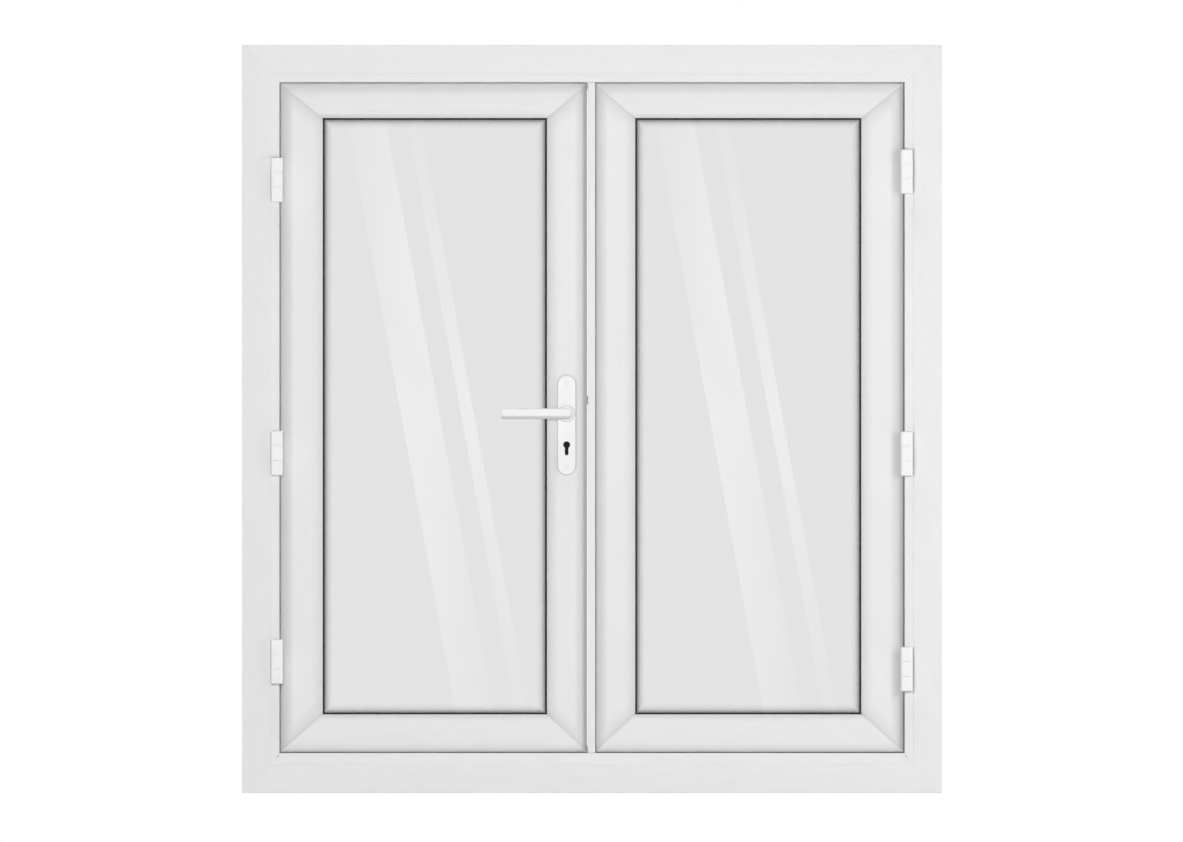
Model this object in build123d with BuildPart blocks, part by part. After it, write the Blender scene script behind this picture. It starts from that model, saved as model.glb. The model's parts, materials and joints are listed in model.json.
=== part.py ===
"""White PVC-U french doors in their outer frame, closed. Millimetres, +Z up.

X runs along the doorway, the outside face looks towards -Y, and the origin is the middle of
the sill's underside. The left door is the one that is used first: it carries the handles and
the lock. The right door carries the slim mullion, the keep and two slide bolts.
"""

import os

from build123d import *

# Overall size
frame_width = 1960.0
frame_height = 2094.0

# Outer frame profile: v is the distance inwards from the wall side
frame_front = -40.0
frame_back = 35.0
band_width = 79.0
band_slope_drop = 5.5
band_step = 1.5
jamb_face = 105.0
head_face = 104.0
sill_face = 112.0
stop_height = 21.0
stop_thickness = 14.0
frame_wall = 3.0
edge_bevel = 2.0

# Door (sash) profile: u is the distance inwards from the door's outer edge
perimeter_gap = 3.0
door_front = -27.0
hinge_stile_face = 118.0
lock_stile_face = 112.0
top_rail_face = 97.0
bottom_rail_face = 105.0
nominal_face = 116.0
door_wall = 3.0
web = 2.0
edge_round_width = 24.0
edge_round_drop = 12.0
slope_width = 30.0
slope_drop = 10.0
lip_thickness = 4.0
rebate_step = 24.0
seal_gap = 4.0
seal_inset = 7.0
seal_width = 12.0
pocket_depth = 20.0
steel_chamber = 44.0

# Double-glazed unit
unit_thickness = 28.0
pane_thickness = 4.0
edge_cover = 15.0
glazing_seal_thickness = 3.5
glazing_seal_show = 4.0
spacer_height = 10.0
bead_height = 18.0
bead_seal_gap = 3.0
bead_seal_inset = -2.0
bead_slope = 8.0
packer_length = 100.0
packer_inset = 90.0
packer_width = 24.0

# Steel box in the hollow profiles
steel_deep = 30.0
steel_wall = 1.5
steel_end_gap = 40.0

# Hinges
hinge_height = 126.0
hinge_width = 34.0
hinge_depth = 24.0
hinge_corner = 10.0
hinge_end_chamfer = 5.0
hinge_plate = 2.5
hinge_pin_radius = 5.0
hinge_axis_out = 20.5
hinge_axis_inset = 7.0
hinge_plate_inset = 3.0
hinge_leaf_thickness = 2.2
stem_near = 2.0
stem_far = 14.0
hinge_leaf_depth = 30.0
knuckle_gap = 0.5
left_hinge_from_sill = 256.0
left_hinge_from_head = 273.0
left_hinge_below_middle = 99.0
right_hinge_from_sill = 235.0
right_hinge_from_head = 250.0
right_hinge_below_middle = 101.0

# Handles and lock
handle_height = 1062.0
handle_backset = 57.0
cylinder_drop = 87.0
plate_width = 53.0
plate_height = 280.0
plate_thickness = 10.0
plate_centre_drop = 32.0
screw_spacing = 235.0
screw_radius = 2.5
screw_head_radius = 4.5
collar_radius = 23.0
collar_thickness = 4.0
neck_radius = 10.0
grip_length = 197.0
grip_height = 30.0
grip_depth = 16.0
grip_past_axis = 13.0
grip_reach = 47.0
spindle_size = 8.0
euro_radius = 10.0
euro_slot = 11.0
euro_height = 40.0
plug_radius = 6.5
cam_radius = 15.0
cam_width = 10.0
case_height = 215.0
case_top_over_handle = 68.0
case_thickness = 15.6
case_depth = 78.0
case_wall = 1.5
faceplate_width = 16.0
faceplate_thickness = 2.5
faceplate_bottom = 300.0
faceplate_top = 1800.0
latch_over_handle = 38.0
latch_height = 24.0
latch_throw = 11.0
latch_length = 48.0
bolt_over_cylinder = 38.0
bolt_height = 30.0
bolt_throw = 16.0
bolt_length = 40.0
bolt_thickness = 11.0
latch_thickness = 11.0
latch_nose = 3.0
latch_shoulder = 1.0
follower_radius = 11.0
spindle_hole_radius = 13.0
socket_end = 30.0
neck_start = 2.0
collar_edge_bevel = 1.5
plate_edge_bevel = 3.0
grip_edge_bevel = 6.0
screw_head_height = 2.5
screw_slot = 1.2
screw_end_cover = 3.0
cylinder_inset = 1.0
cam_ring = 2.0
cam_lobe = 8.0
key_slot_width = 2.4
key_slot_height = 8.5
key_slot_depth = 6.0

# Slim mullion on the right door
mullion_width = 19.3
mullion_front = -38.0
mullion_wall = 2.5
mullion_to_right_door = 9.0
left_door_edge = 14.0
mullion_seal_width = 6.0
mullion_seal_depth = 1.6
cap_thickness = 8.0
slide_bolt_radius = 5.0
slide_bolt_length = 200.0
slide_bolt_throw = 18.0
slide_tab_height = 14.0
slide_bolt_rest = 1.0
tab_from_cap = 70.0
tab_width = 6.0
tab_reach = 9.0
keep_length = 30.0
keep_wall = 1.5
keep_play = 1.0
keep_margin = 12.0
keep_thickness = 1.5
mullion_edge_radius = 2.0

# Clearances
fit = 0.3
running = 0.05
fixing_hole_radius = 4.0
fixing_from_corner = 250.0

half_width = frame_width / 2
reveal = half_width - jamb_face
reveal_top = frame_height - head_face
door_edge = reveal - perimeter_gap
door_bottom = sill_face + perimeter_gap
door_top = reveal_top - perimeter_gap
door_back = frame_back
stop_front = frame_back - stop_thickness
door_step = stop_front - seal_gap
edge_front = door_front + edge_round_drop
lip_front = door_front + slope_drop
lip_back = lip_front + lip_thickness
glass_front = lip_back + glazing_seal_thickness
glass_back = glass_front + unit_thickness
pocket_floor = nominal_face - pocket_depth
left_hinge_heights = {
    "bottom": sill_face + left_hinge_from_sill,
    "middle": (sill_face + reveal_top) / 2 - left_hinge_below_middle,
    "top": reveal_top - left_hinge_from_head,
}
right_hinge_heights = {
    "bottom": sill_face + right_hinge_from_sill,
    "middle": (sill_face + reveal_top) / 2 - right_hinge_below_middle,
    "top": reveal_top - right_hinge_from_head,
}
hinge_axis_y = frame_front - hinge_axis_out
hinge_axis_x = reveal + hinge_axis_inset
handle_x = -left_door_edge - handle_backset
cylinder_height = handle_height - cylinder_drop
lock_y = (edge_front + door_step) / 2
lock_x = -left_door_edge - faceplate_thickness
bolt_x = mullion_to_right_door - mullion_width / 2
bolt_y = (mullion_front + door_step) / 2
case_top = handle_height + case_top_over_handle
case_bottom = case_top - case_height
plate_middle = handle_height - plate_centre_drop
latch_height_centre = handle_height + latch_over_handle
bolt_height_centre = cylinder_height + bolt_over_cylinder
bolt_windows = [
    (latch_height_centre, latch_height, latch_thickness),
    (bolt_height_centre, bolt_height, bolt_thickness),
]
steel_start = rebate_step + door_wall
steel_end = steel_start + steel_chamber
deep = 400.0


def profile_plane(origin, inward):
    """The plane across a bar: its local x runs inwards and its local y is the depth."""
    along = Vector(*inward).cross(Vector(0, 1, 0))
    return Plane(origin=origin, x_dir=inward, z_dir=along)


def mitred_bar(origin, inward, draw_outline, chambers, plan):
    """A hollow profile drawn across the bar, then cut to its mitred plan in the door's face."""
    with BuildPart() as bar:
        with BuildSketch(profile_plane(origin, inward)):
            with BuildLine():
                draw_outline()
            make_face()
            for chamber in chambers:
                with BuildLine():
                    Polyline(*chamber, close=True)
                make_face(mode=Mode.SUBTRACT)
        extrude(amount=frame_height, both=True)
        with BuildSketch(Plane.XZ):
            with BuildLine():
                Polyline(*plan, close=True)
            make_face()
        extrude(amount=deep, both=True, mode=Mode.INTERSECT)
    return bar


def save(block, name):
    block.part.label = name
    export_step(block.part, f"parts/{name}.step")


def save_group(blocks, name):
    pieces = Compound(children=[solid for block in blocks for solid in block.part.solids()])
    pieces.label = name
    export_step(pieces, f"parts/{name}.step")


def block(x, y, z):
    """A plain box between two values on each axis, joined to the part being built."""
    with Locations(((x[0] + x[1]) / 2, (y[0] + y[1]) / 2, (z[0] + z[1]) / 2)):
        Box(abs(x[1] - x[0]), abs(y[1] - y[0]), abs(z[1] - z[0]))


def cut(x, y, z):
    with Locations(((x[0] + x[1]) / 2, (y[0] + y[1]) / 2, (z[0] + z[1]) / 2)):
        Box(abs(x[1] - x[0]), abs(y[1] - y[0]), abs(z[1] - z[0]), mode=Mode.SUBTRACT)


def frame_ring(outer, inner, front, back):
    """A flat rectangular ring between two openings, each given as left, right, bottom and top."""
    with BuildSketch(Plane.XZ.offset(-back)) as ring:
        for opening, mode in ((outer, Mode.ADD), (inner, Mode.SUBTRACT)):
            left, right, bottom, top = opening
            with Locations(((left + right) / 2, (bottom + top) / 2)):
                Rectangle(right - left, top - bottom, mode=mode)
    extrude(ring.sketch, amount=back - front)


def inset(opening, amount):
    left, right, bottom, top = opening
    return (left + amount, right - amount, bottom + amount, top - amount)


# Outer frame
def frame_outline(face):
    """The frame's section: sloped band, shallow step, flat band, reveal and door stop."""
    band_low = frame_front - band_step + band_slope_drop

    def draw():
        Polyline(
            (0, frame_back),
            (0, band_low + edge_bevel),
            (edge_bevel, band_low),
            (band_width, frame_front - band_step),
            (band_width + band_step, frame_front),
            (face - edge_bevel, frame_front),
            (face, frame_front + edge_bevel),
            (face, stop_front),
            (face + stop_height, stop_front),
            (face + stop_height, frame_back),
            (0, frame_back),
        )

    return draw


def frame_chambers(face):
    low = frame_front + band_slope_drop + frame_wall + edge_bevel
    high = frame_back - frame_wall
    split = face / 2
    stop_wall = stop_front - frame_wall - web
    front = frame_front + 2 * frame_wall
    return [
        [(frame_wall, low), (split - web, low), (split - web, high), (frame_wall, high)],
        [(split, front), (face - frame_wall, front), (face - frame_wall, stop_wall), (split, stop_wall)],
        [
            (split, stop_wall + web),
            (face - frame_wall, stop_wall + web),
            (face - frame_wall, stop_front + frame_wall),
            (face + stop_height - frame_wall, stop_front + frame_wall),
            (face + stop_height - frame_wall, high),
            (split, high),
        ],
    ]


def frame_corner(k, lift, base, up):
    """The mitre from the outside corner, with a square step where the two faces differ."""
    far = jamb_face + stop_height
    return [
        (k * half_width, base),
        (k * (half_width - jamb_face), base + up * jamb_face),
        (k * (half_width - jamb_face), base + up * (jamb_face + lift)),
        (k * (half_width - far), base + up * (far + lift)),
    ]


sill_lift = sill_face - jamb_face
head_lift = head_face - jamb_face
frame_places = {
    "jamb_left": ((-half_width, 0, 0), (1, 0, 0), jamb_face),
    "jamb_right": ((half_width, 0, 0), (-1, 0, 0), jamb_face),
    "head": ((0, 0, frame_height), (0, 0, -1), head_face),
    "sill": ((0, 0, 0), (0, 0, 1), sill_face),
}


def frame_plan(side):
    if side == "sill":
        return frame_corner(1, sill_lift, 0, 1) + frame_corner(-1, sill_lift, 0, 1)[::-1]
    if side == "head":
        right = frame_corner(1, head_lift, frame_height, -1)
        return right + frame_corner(-1, head_lift, frame_height, -1)[::-1]
    k = -1 if side == "jamb_left" else 1
    low = frame_corner(k, sill_lift, 0, 1)
    return low + frame_corner(k, head_lift, frame_height, -1)[::-1]


def fixing_holes(radius):
    """The jambs' fixing holes, drilled from side to side through whatever is being built."""
    for height in (fixing_from_corner, frame_height - fixing_from_corner):
        with Locations((0, 0, height)):
            Cylinder(radius, 2 * frame_width, rotation=(0, 90, 0), mode=Mode.SUBTRACT)


def frame_bar(side):
    origin, inward, face = frame_places[side]
    bar = mitred_bar(origin, inward, frame_outline(face), frame_chambers(face), frame_plan(side))
    with BuildPart() as member:
        add(bar.part)
        if side in ("head", "sill"):
            place = reveal_top if side == "head" else sill_face
            with Locations((bolt_x, bolt_y, place)):
                hole = slide_bolt_radius + running + keep_wall + fit
                Cylinder(hole, 4 * frame_wall, mode=Mode.SUBTRACT)
        else:
            fixing_holes(fixing_hole_radius)
    return member


def box_tube(x, y, z, axis):
    """A steel box section between two corners, open at both ends of its long axis."""
    block(x, y, z)
    spans = [x, y, z]
    for i in range(3):
        grow = -steel_wall if i != axis else steel_wall
        low, high = min(spans[i]), max(spans[i])
        spans[i] = (low - grow, high + grow)
    cut(*spans)


def frame_steel():
    """A box section in the outer chamber of each frame member."""
    depth = (-steel_deep / 2, steel_deep / 2)
    ends = (sill_face + steel_end_gap, reveal_top - steel_end_gap)
    across = reveal - steel_end_gap
    low = frame_wall + fit

    def high(face):
        return face / 2 - web - fit

    with BuildPart() as steel:
        for k in (-1, 1):
            box_tube((k * (half_width - low), k * (half_width - high(jamb_face))), depth, ends, 2)
        head = (frame_height - high(head_face), frame_height - low)
        box_tube((-across, across), depth, head, 0)
        box_tube((-across, across), depth, (low, high(sill_face)), 0)
        fixing_holes(fixing_hole_radius + fit)
    return steel


# Doors
doors = {
    "left": {"hinge": -door_edge, "meeting": -left_door_edge},
    "right": {"hinge": door_edge, "meeting": mullion_to_right_door},
}
hinge_heights = {"left": left_hinge_heights, "right": right_hinge_heights}


def door_opening(door):
    """Left, right, bottom and top of the glass that shows in a door."""
    if door == "left":
        left = doors[door]["hinge"] + hinge_stile_face
        right = doors[door]["meeting"] - lock_stile_face
    else:
        left = doors[door]["meeting"] + lock_stile_face
        right = doors[door]["hinge"] - hinge_stile_face
    return (left, right, door_bottom + bottom_rail_face, door_top - top_rail_face)


def door_outline(face):
    """The door's section, drawn at its nominal width and scaled to the member's face."""
    k = face / nominal_face
    nose = edge_round_width * k
    shoulder = (nominal_face - slope_width) * k

    def draw():
        TangentArc((nose, door_front), (0, edge_front), tangent=(-1, 0))
        Line((nose, door_front), (shoulder, door_front))
        TangentArc((shoulder, door_front), (face, lip_front), tangent=(1, 0))
        Polyline(
            (face, lip_front),
            (face, lip_back),
            (pocket_floor * k, lip_back),
            (pocket_floor * k, door_back),
            (rebate_step * k, door_back),
            (rebate_step * k, door_step),
            (0, door_step),
            (0, edge_front),
        )

    return draw


def door_chambers(face):
    k = face / nominal_face
    inner_front = door_front + door_wall
    high = door_back - door_wall
    last = pocket_floor - door_wall
    edges = [
        (door_wall, rebate_step - web, edge_front + door_wall, door_step - door_wall),
        (steel_start, steel_end, inner_front, high),
        (steel_end + web, last, inner_front, high),
    ]
    return [
        [(k * a, low), (k * b, low), (k * b, top), (k * a, top)] for a, b, low, top in edges
    ]


def door_member(door, side):
    """One mitred stile or rail. Its cuts run from the door's corner to the glass's corner."""
    hinge = doors[door]["hinge"]
    meeting = doors[door]["meeting"]
    left, right, bottom, top = door_opening(door)
    glass = {"hinge": left, "meeting": right} if door == "left" else {"hinge": right, "meeting": left}
    inward = 1 if door == "left" else -1
    places = {
        "hinge_stile": ((hinge, 0, 0), (inward, 0, 0), hinge_stile_face),
        "lock_stile": ((meeting, 0, 0), (-inward, 0, 0), lock_stile_face),
        "top_rail": ((0, 0, door_top), (0, 0, -1), top_rail_face),
        "bottom_rail": ((0, 0, door_bottom), (0, 0, 1), bottom_rail_face),
    }
    ends = {
        "hinge_stile": [("hinge", door_bottom, bottom), ("hinge", door_top, top)],
        "lock_stile": [("meeting", door_bottom, bottom), ("meeting", door_top, top)],
        "top_rail": [("hinge", door_top, top), ("meeting", door_top, top)],
        "bottom_rail": [("hinge", door_bottom, bottom), ("meeting", door_bottom, bottom)],
    }
    plan = []
    for which, outer_z, glass_z in ends[side]:
        pair = [(doors[door][which], outer_z), (glass[which], glass_z)]
        plan += pair if not plan else pair[::-1]
    origin, along, face = places[side]
    return mitred_bar(origin, along, door_outline(face), door_chambers(face), plan)


def door_steel(door):
    """Steel box sections in the big chamber. The lock interrupts the one in the lock stile."""
    hinge = doors[door]["hinge"]
    meeting = doors[door]["meeting"]
    k = 1 if door == "left" else -1
    depth = (-steel_deep / 2, steel_deep / 2)

    def chamber(face):
        scale = face / nominal_face
        return (steel_start * scale + fit, steel_end * scale - fit)

    low = door_bottom + bottom_rail_face + steel_end_gap
    high = door_top - top_rail_face - steel_end_gap
    a, b = chamber(hinge_stile_face)
    c, d = chamber(lock_stile_face)
    e, f = chamber(top_rail_face)
    g, h = chamber(bottom_rail_face)
    across = (hinge + k * (hinge_stile_face + steel_end_gap), meeting - k * (lock_stile_face + steel_end_gap))
    with BuildPart() as steel:
        box_tube((hinge + k * a, hinge + k * b), depth, (low, high), 2)
        stile = (meeting - k * c, meeting - k * d)
        if door == "left":
            box_tube(stile, depth, (low, case_bottom - steel_end_gap), 2)
            box_tube(stile, depth, (case_top + steel_end_gap, high), 2)
        else:
            box_tube(stile, depth, (low, high), 2)
        box_tube(across, depth, (door_top - f, door_top - e), 0)
        box_tube(across, depth, (door_bottom + g, door_bottom + h), 0)
    return steel


def panes(door):
    """The outer and inner sheet of the double glazing."""
    left, right, bottom, top = inset(door_opening(door), -edge_cover)
    with BuildPart() as sheets:
        for front in (glass_front, glass_back - pane_thickness):
            block((left, right), (front, front + pane_thickness), (bottom, top))
    return sheets


def spacer(door):
    with BuildPart() as bar:
        outer = inset(door_opening(door), -edge_cover)
        front = glass_front + pane_thickness
        frame_ring(outer, inset(outer, spacer_height), front, glass_back - pane_thickness)
    return bar


def glazing_seals(door):
    """The outer seal that shows round the glass and the wedge seal behind the beads."""
    opening = door_opening(door)
    with BuildPart() as seals:
        outer = inset(opening, -edge_cover)
        frame_ring(outer, inset(opening, glazing_seal_show), lip_back, glass_front)
        inner = inset(opening, bead_seal_inset)
        frame_ring(inset(opening, -edge_cover / 2), inner, glass_back, glass_back + bead_seal_gap)
    return seals


def bead_outline(pocket):
    """A glazing bead's section, measured outwards from the glass that shows."""
    near = pocket_depth - bead_height
    front = glass_back + bead_seal_gap

    def draw():
        Polyline(
            (near, front),
            (pocket, front),
            (pocket, door_back),
            (near + bead_slope, door_back),
            (near, front + bead_slope / 2),
            (near, front),
        )

    return draw


def beads(door):
    """Four glazing beads with a sloped inner face, mitred at the corners."""
    opening = door_opening(door)
    left, right, bottom, top = opening
    pocket = pocket_depth / nominal_face
    sides = (hinge_stile_face, lock_stile_face) if door == "left" else (lock_stile_face, hinge_stile_face)
    outer = (
        left - pocket * sides[0],
        right + pocket * sides[1],
        bottom - pocket * bottom_rail_face,
        top + pocket * top_rail_face,
    )
    places = [
        ((0, 0, bottom), (0, 0, -1), bottom_rail_face),
        ((right, 0, 0), (1, 0, 0), sides[1]),
        ((0, 0, top), (0, 0, 1), top_rail_face),
        ((left, 0, 0), (-1, 0, 0), sides[0]),
    ]
    corners = [(0, 2), (1, 2), (1, 3), (0, 3)]
    pieces = []
    for i, (origin, outward, face) in enumerate(places):
        (a, b), (c, d) = corners[i], corners[(i + 1) % 4]
        plan = [(outer[a], outer[b]), (outer[c], outer[d]), (opening[c], opening[d]), (opening[a], opening[b])]
        pieces.append(mitred_bar(origin, outward, bead_outline(pocket * face), [], plan))
    return pieces


def packers(door):
    """Pads that carry the glass in its pocket."""
    left, right, bottom, top = inset(door_opening(door), -edge_cover)
    floor = bottom + edge_cover - pocket_depth * bottom_rail_face / nominal_face
    roof = top - edge_cover + pocket_depth * top_rail_face / nominal_face
    middle = (glass_front + glass_back) / 2
    depth = (middle - packer_width / 2, middle + packer_width / 2)
    with BuildPart() as pads:
        for start in (left + packer_inset, right - packer_inset - packer_length):
            block((start, start + packer_length), depth, (floor, bottom))
            block((start, start + packer_length), depth, (top, roof))
    return pads


def frame_seal():
    """The seal on the door stop that the shut doors press against."""
    reveal_opening = (-reveal, reveal, sill_face, reveal_top)
    outer = inset(reveal_opening, seal_inset)
    with BuildPart() as seal:
        frame_ring(outer, inset(outer, seal_width), door_step + fit, stop_front)
    return seal


# Hinges
def hinge_section(z_low, z_high, axis_x):
    """A length of the barrel: a rounded rectangle about the hinge axis."""
    with BuildSketch(Plane.XY.offset(z_low)) as section:
        with Locations((axis_x, hinge_axis_y)):
            RectangleRounded(hinge_width, hinge_depth, hinge_corner)
    extrude(section.sketch, amount=z_high - z_low)


def pin_bore(axis_x, centre):
    half = hinge_height / 2 - hinge_end_chamfer
    with Locations((axis_x, hinge_axis_y, centre)):
        Cylinder(hinge_pin_radius + running, 2 * half + 2 * running, mode=Mode.SUBTRACT)


def hinge_frame_leaf(k, centre):
    """Top and bottom knuckles, stems and the plate that is screwed to the frame."""
    axis_x = k * hinge_axis_x
    third = hinge_height / 3
    plate_front = frame_front - hinge_plate
    with BuildPart() as leaf:
        for up in (-1, 1):
            inner = centre + up * (third / 2 + knuckle_gap / 2)
            outer = centre + up * hinge_height / 2
            hinge_section(min(inner, outer), max(inner, outer), axis_x)
        ends = leaf.faces().filter_by(Axis.Z).sort_by(Axis.Z)
        chamfer(ends[0].edges() + ends[-1].edges(), hinge_end_chamfer)
        for up in (-1, 1):
            inner = centre + up * (third / 2 + knuckle_gap / 2)
            outer = centre + up * (hinge_height / 2 - hinge_end_chamfer)
            stem = (axis_x + k * stem_near, axis_x + k * stem_far)
            block(stem, (hinge_axis_y, plate_front), (inner, outer))
        pin_bore(axis_x, centre)
        plate = (reveal + hinge_plate_inset, half_width - band_width - band_step - fit)
        half = hinge_height / 2 - hinge_end_chamfer
        block((k * plate[0], k * plate[1]), (plate_front, frame_front), (centre - half, centre + half))
    return leaf


def hinge_door_leaf(k, centre):
    """The middle knuckle and the leaf that turns into the gap, flat on the door's edge."""
    axis_x = k * hinge_axis_x
    half = (hinge_height / 3 - knuckle_gap) / 2
    leaf_x = (k * door_edge, k * (door_edge + hinge_leaf_thickness))
    clear = hinge_axis_y + hinge_width / 2 + hinge_plate
    tall = hinge_height / 2 - hinge_end_chamfer
    with BuildPart() as leaf:
        hinge_section(centre - half, centre + half, axis_x)
        block(leaf_x, (hinge_axis_y, clear), (centre - half, centre + half))
        pin_bore(axis_x, centre)
        block(leaf_x, (clear, edge_front + hinge_leaf_depth), (centre - tall, centre + tall))
    return leaf


def hinge_pins():
    with BuildPart() as pins:
        for k, heights in ((-1, left_hinge_heights), (1, right_hinge_heights)):
            for centre in heights.values():
                with Locations((k * hinge_axis_x, hinge_axis_y, centre)):
                    Cylinder(hinge_pin_radius, hinge_height - 2 * hinge_end_chamfer)
    return pins


# Lock and handles
def euro_profile(radius, slot, height):
    """The keyhole outline: a circle with a narrower rounded slot below it."""
    Circle(radius)
    bottom = radius - height + slot / 2
    with Locations((0, bottom / 2)):
        Rectangle(slot, -bottom)
    with Locations((0, bottom)):
        Circle(slot / 2)


def facing_plane(x, z, y, towards):
    """A plane across the door at a depth, facing out of the house (-1) or into it (1)."""
    return Plane(origin=(x, y, z), x_dir=(-towards, 0, 0), z_dir=(0, towards, 0))


def lock_cuts():
    """Every hole that the lock and handles need in the left door's lock stile."""
    edge = -left_door_edge
    half = case_thickness / 2 + fit
    lip = faceplate_width / 2 + fit
    cut((lock_x - case_depth - fit, edge), (lock_y - half, lock_y + half), (case_bottom - fit, case_top + fit))
    cut((lock_x, edge), (lock_y - lip, lock_y + lip), (faceplate_bottom - fit, faceplate_top + fit))
    through = door_back - door_front
    screws = [plate_middle + k * screw_spacing / 2 for k in (-1, 1)]
    for height, radius in [(handle_height, spindle_hole_radius)] + [(z, screw_radius + fit) for z in screws]:
        with BuildSketch(facing_plane(handle_x, height, door_front, 1)) as hole:
            Circle(radius)
        extrude(hole.sketch, amount=through, mode=Mode.SUBTRACT)
    with BuildSketch(facing_plane(handle_x, cylinder_height, door_front, 1)) as keyhole:
        euro_profile(euro_radius, euro_slot, euro_height)
    extrude(keyhole.sketch, amount=through, mode=Mode.SUBTRACT)


def faceplate():
    with BuildPart() as plate:
        edge = -left_door_edge
        half = faceplate_width / 2
        block((lock_x, edge), (lock_y - half, lock_y + half), (faceplate_bottom, faceplate_top))
        for centre, height, thick in bolt_windows:
            high = height / 2 + fit
            deep_half = thick / 2 + fit
            cut((lock_x, edge), (lock_y - deep_half, lock_y + deep_half), (centre - high, centre + high))
        ends = plate.edges().filter_by(Axis.X)
        fillet(ends.group_by(Axis.Z)[0] + ends.group_by(Axis.Z)[-1], half - fit)
    return plate


def lock_case():
    """A folded steel box with windows for the bolts and holes for spindle and cylinder."""
    x = (lock_x - case_depth, lock_x)
    y = (lock_y - case_thickness / 2, lock_y + case_thickness / 2)
    with BuildPart() as case:
        block(x, y, (case_bottom, case_top))
        room = ((x[0] + case_wall, x[1] - case_wall), (y[0] + case_wall, y[1] - case_wall))
        cut(room[0], room[1], (case_bottom + case_wall, case_top - case_wall))
        for centre, height, thick in bolt_windows:
            high = height / 2 + fit
            deep_half = thick / 2 + fit
            cut((x[1] - case_wall, x[1]), (lock_y - deep_half, lock_y + deep_half), (centre - high, centre + high))
        with BuildSketch(facing_plane(handle_x, handle_height, y[0], 1)):
            Circle(follower_radius + running)
        extrude(amount=case_thickness, mode=Mode.SUBTRACT)
        with BuildSketch(facing_plane(handle_x, cylinder_height, y[0], 1)):
            euro_profile(euro_radius, euro_slot, euro_height)
        extrude(amount=case_thickness, mode=Mode.SUBTRACT)
    return case


def lock_follower():
    """The hub that the square spindle turns."""
    with BuildPart() as hub:
        with BuildSketch(facing_plane(handle_x, handle_height, lock_y - case_thickness / 2, 1)):
            Circle(follower_radius)
            Rectangle(spindle_size + 2 * running, spindle_size + 2 * running, mode=Mode.SUBTRACT)
        extrude(amount=case_thickness)
    return hub


def latch_bolt():
    """The sprung latch: its nose is sloped on the side that meets the keep as the door shuts."""
    tip = -left_door_edge + latch_throw
    with BuildPart() as latch:
        with BuildSketch(Plane.XY.offset(latch_height_centre - latch_height / 2)):
            with BuildLine():
                Polyline(
                    (tip - latch_length, lock_y - latch_thickness / 2),
                    (tip, lock_y - latch_thickness / 2),
                    (tip, lock_y - latch_thickness / 2 + latch_nose),
                    (tip - latch_throw + latch_shoulder, lock_y + latch_thickness / 2),
                    (tip - latch_length, lock_y + latch_thickness / 2),
                    close=True,
                )
            make_face()
        extrude(amount=latch_height)
    return latch


def dead_bolt():
    edge = -left_door_edge
    half = bolt_thickness / 2
    with BuildPart() as bolt:
        low = bolt_height_centre - bolt_height / 2
        block((edge - bolt_length, edge), (lock_y - half, lock_y + half), (low, low + bolt_height))
        chamfer(bolt.faces().sort_by(Axis.X)[-1].edges(), 0.8)
    return bolt


def cylinder_body():
    """The key cylinder's body: a keyhole-shaped bar with a gap in the middle for the cam."""
    front = door_front - plate_thickness + cylinder_inset
    back = door_back + plate_thickness - cylinder_inset
    with BuildPart() as body:
        with BuildSketch(facing_plane(handle_x, cylinder_height, front, 1)):
            euro_profile(euro_radius - fit, euro_slot - 2 * fit, euro_height - 2 * fit)
        extrude(amount=back - front)
        gap = cam_width / 2 + fit
        room = cam_radius + fit
        low = cylinder_height - room
        cut((handle_x - room, handle_x + room), (lock_y - gap, lock_y + gap), (low, low + 2 * room))
        with BuildSketch(facing_plane(handle_x, cylinder_height, front, 1)):
            Circle(plug_radius + running)
        extrude(amount=back - front, mode=Mode.SUBTRACT)
    return body


def key_plug():
    """The turning plug with its keyway at both ends and the cam that throws the bolt."""
    front = door_front - plate_thickness + cylinder_inset
    back = door_back + plate_thickness - cylinder_inset
    with BuildPart() as plug:
        with BuildSketch(facing_plane(handle_x, cylinder_height, front, 1)):
            Circle(plug_radius)
        extrude(amount=back - front)
        with BuildSketch(facing_plane(handle_x, cylinder_height, lock_y - cam_width / 2, 1)):
            Circle(plug_radius + cam_ring)
            with Locations((0, -cam_radius / 2)):
                Rectangle(cam_lobe, cam_radius - 1)
        extrude(amount=cam_width)
        for y in (front, back):
            half = key_slot_width / 2
            tall = key_slot_height / 2
            z = (cylinder_height - tall, cylinder_height + tall)
            cut((handle_x - half, handle_x + half), (y - key_slot_depth, y + key_slot_depth), z)
    return plug


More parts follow.
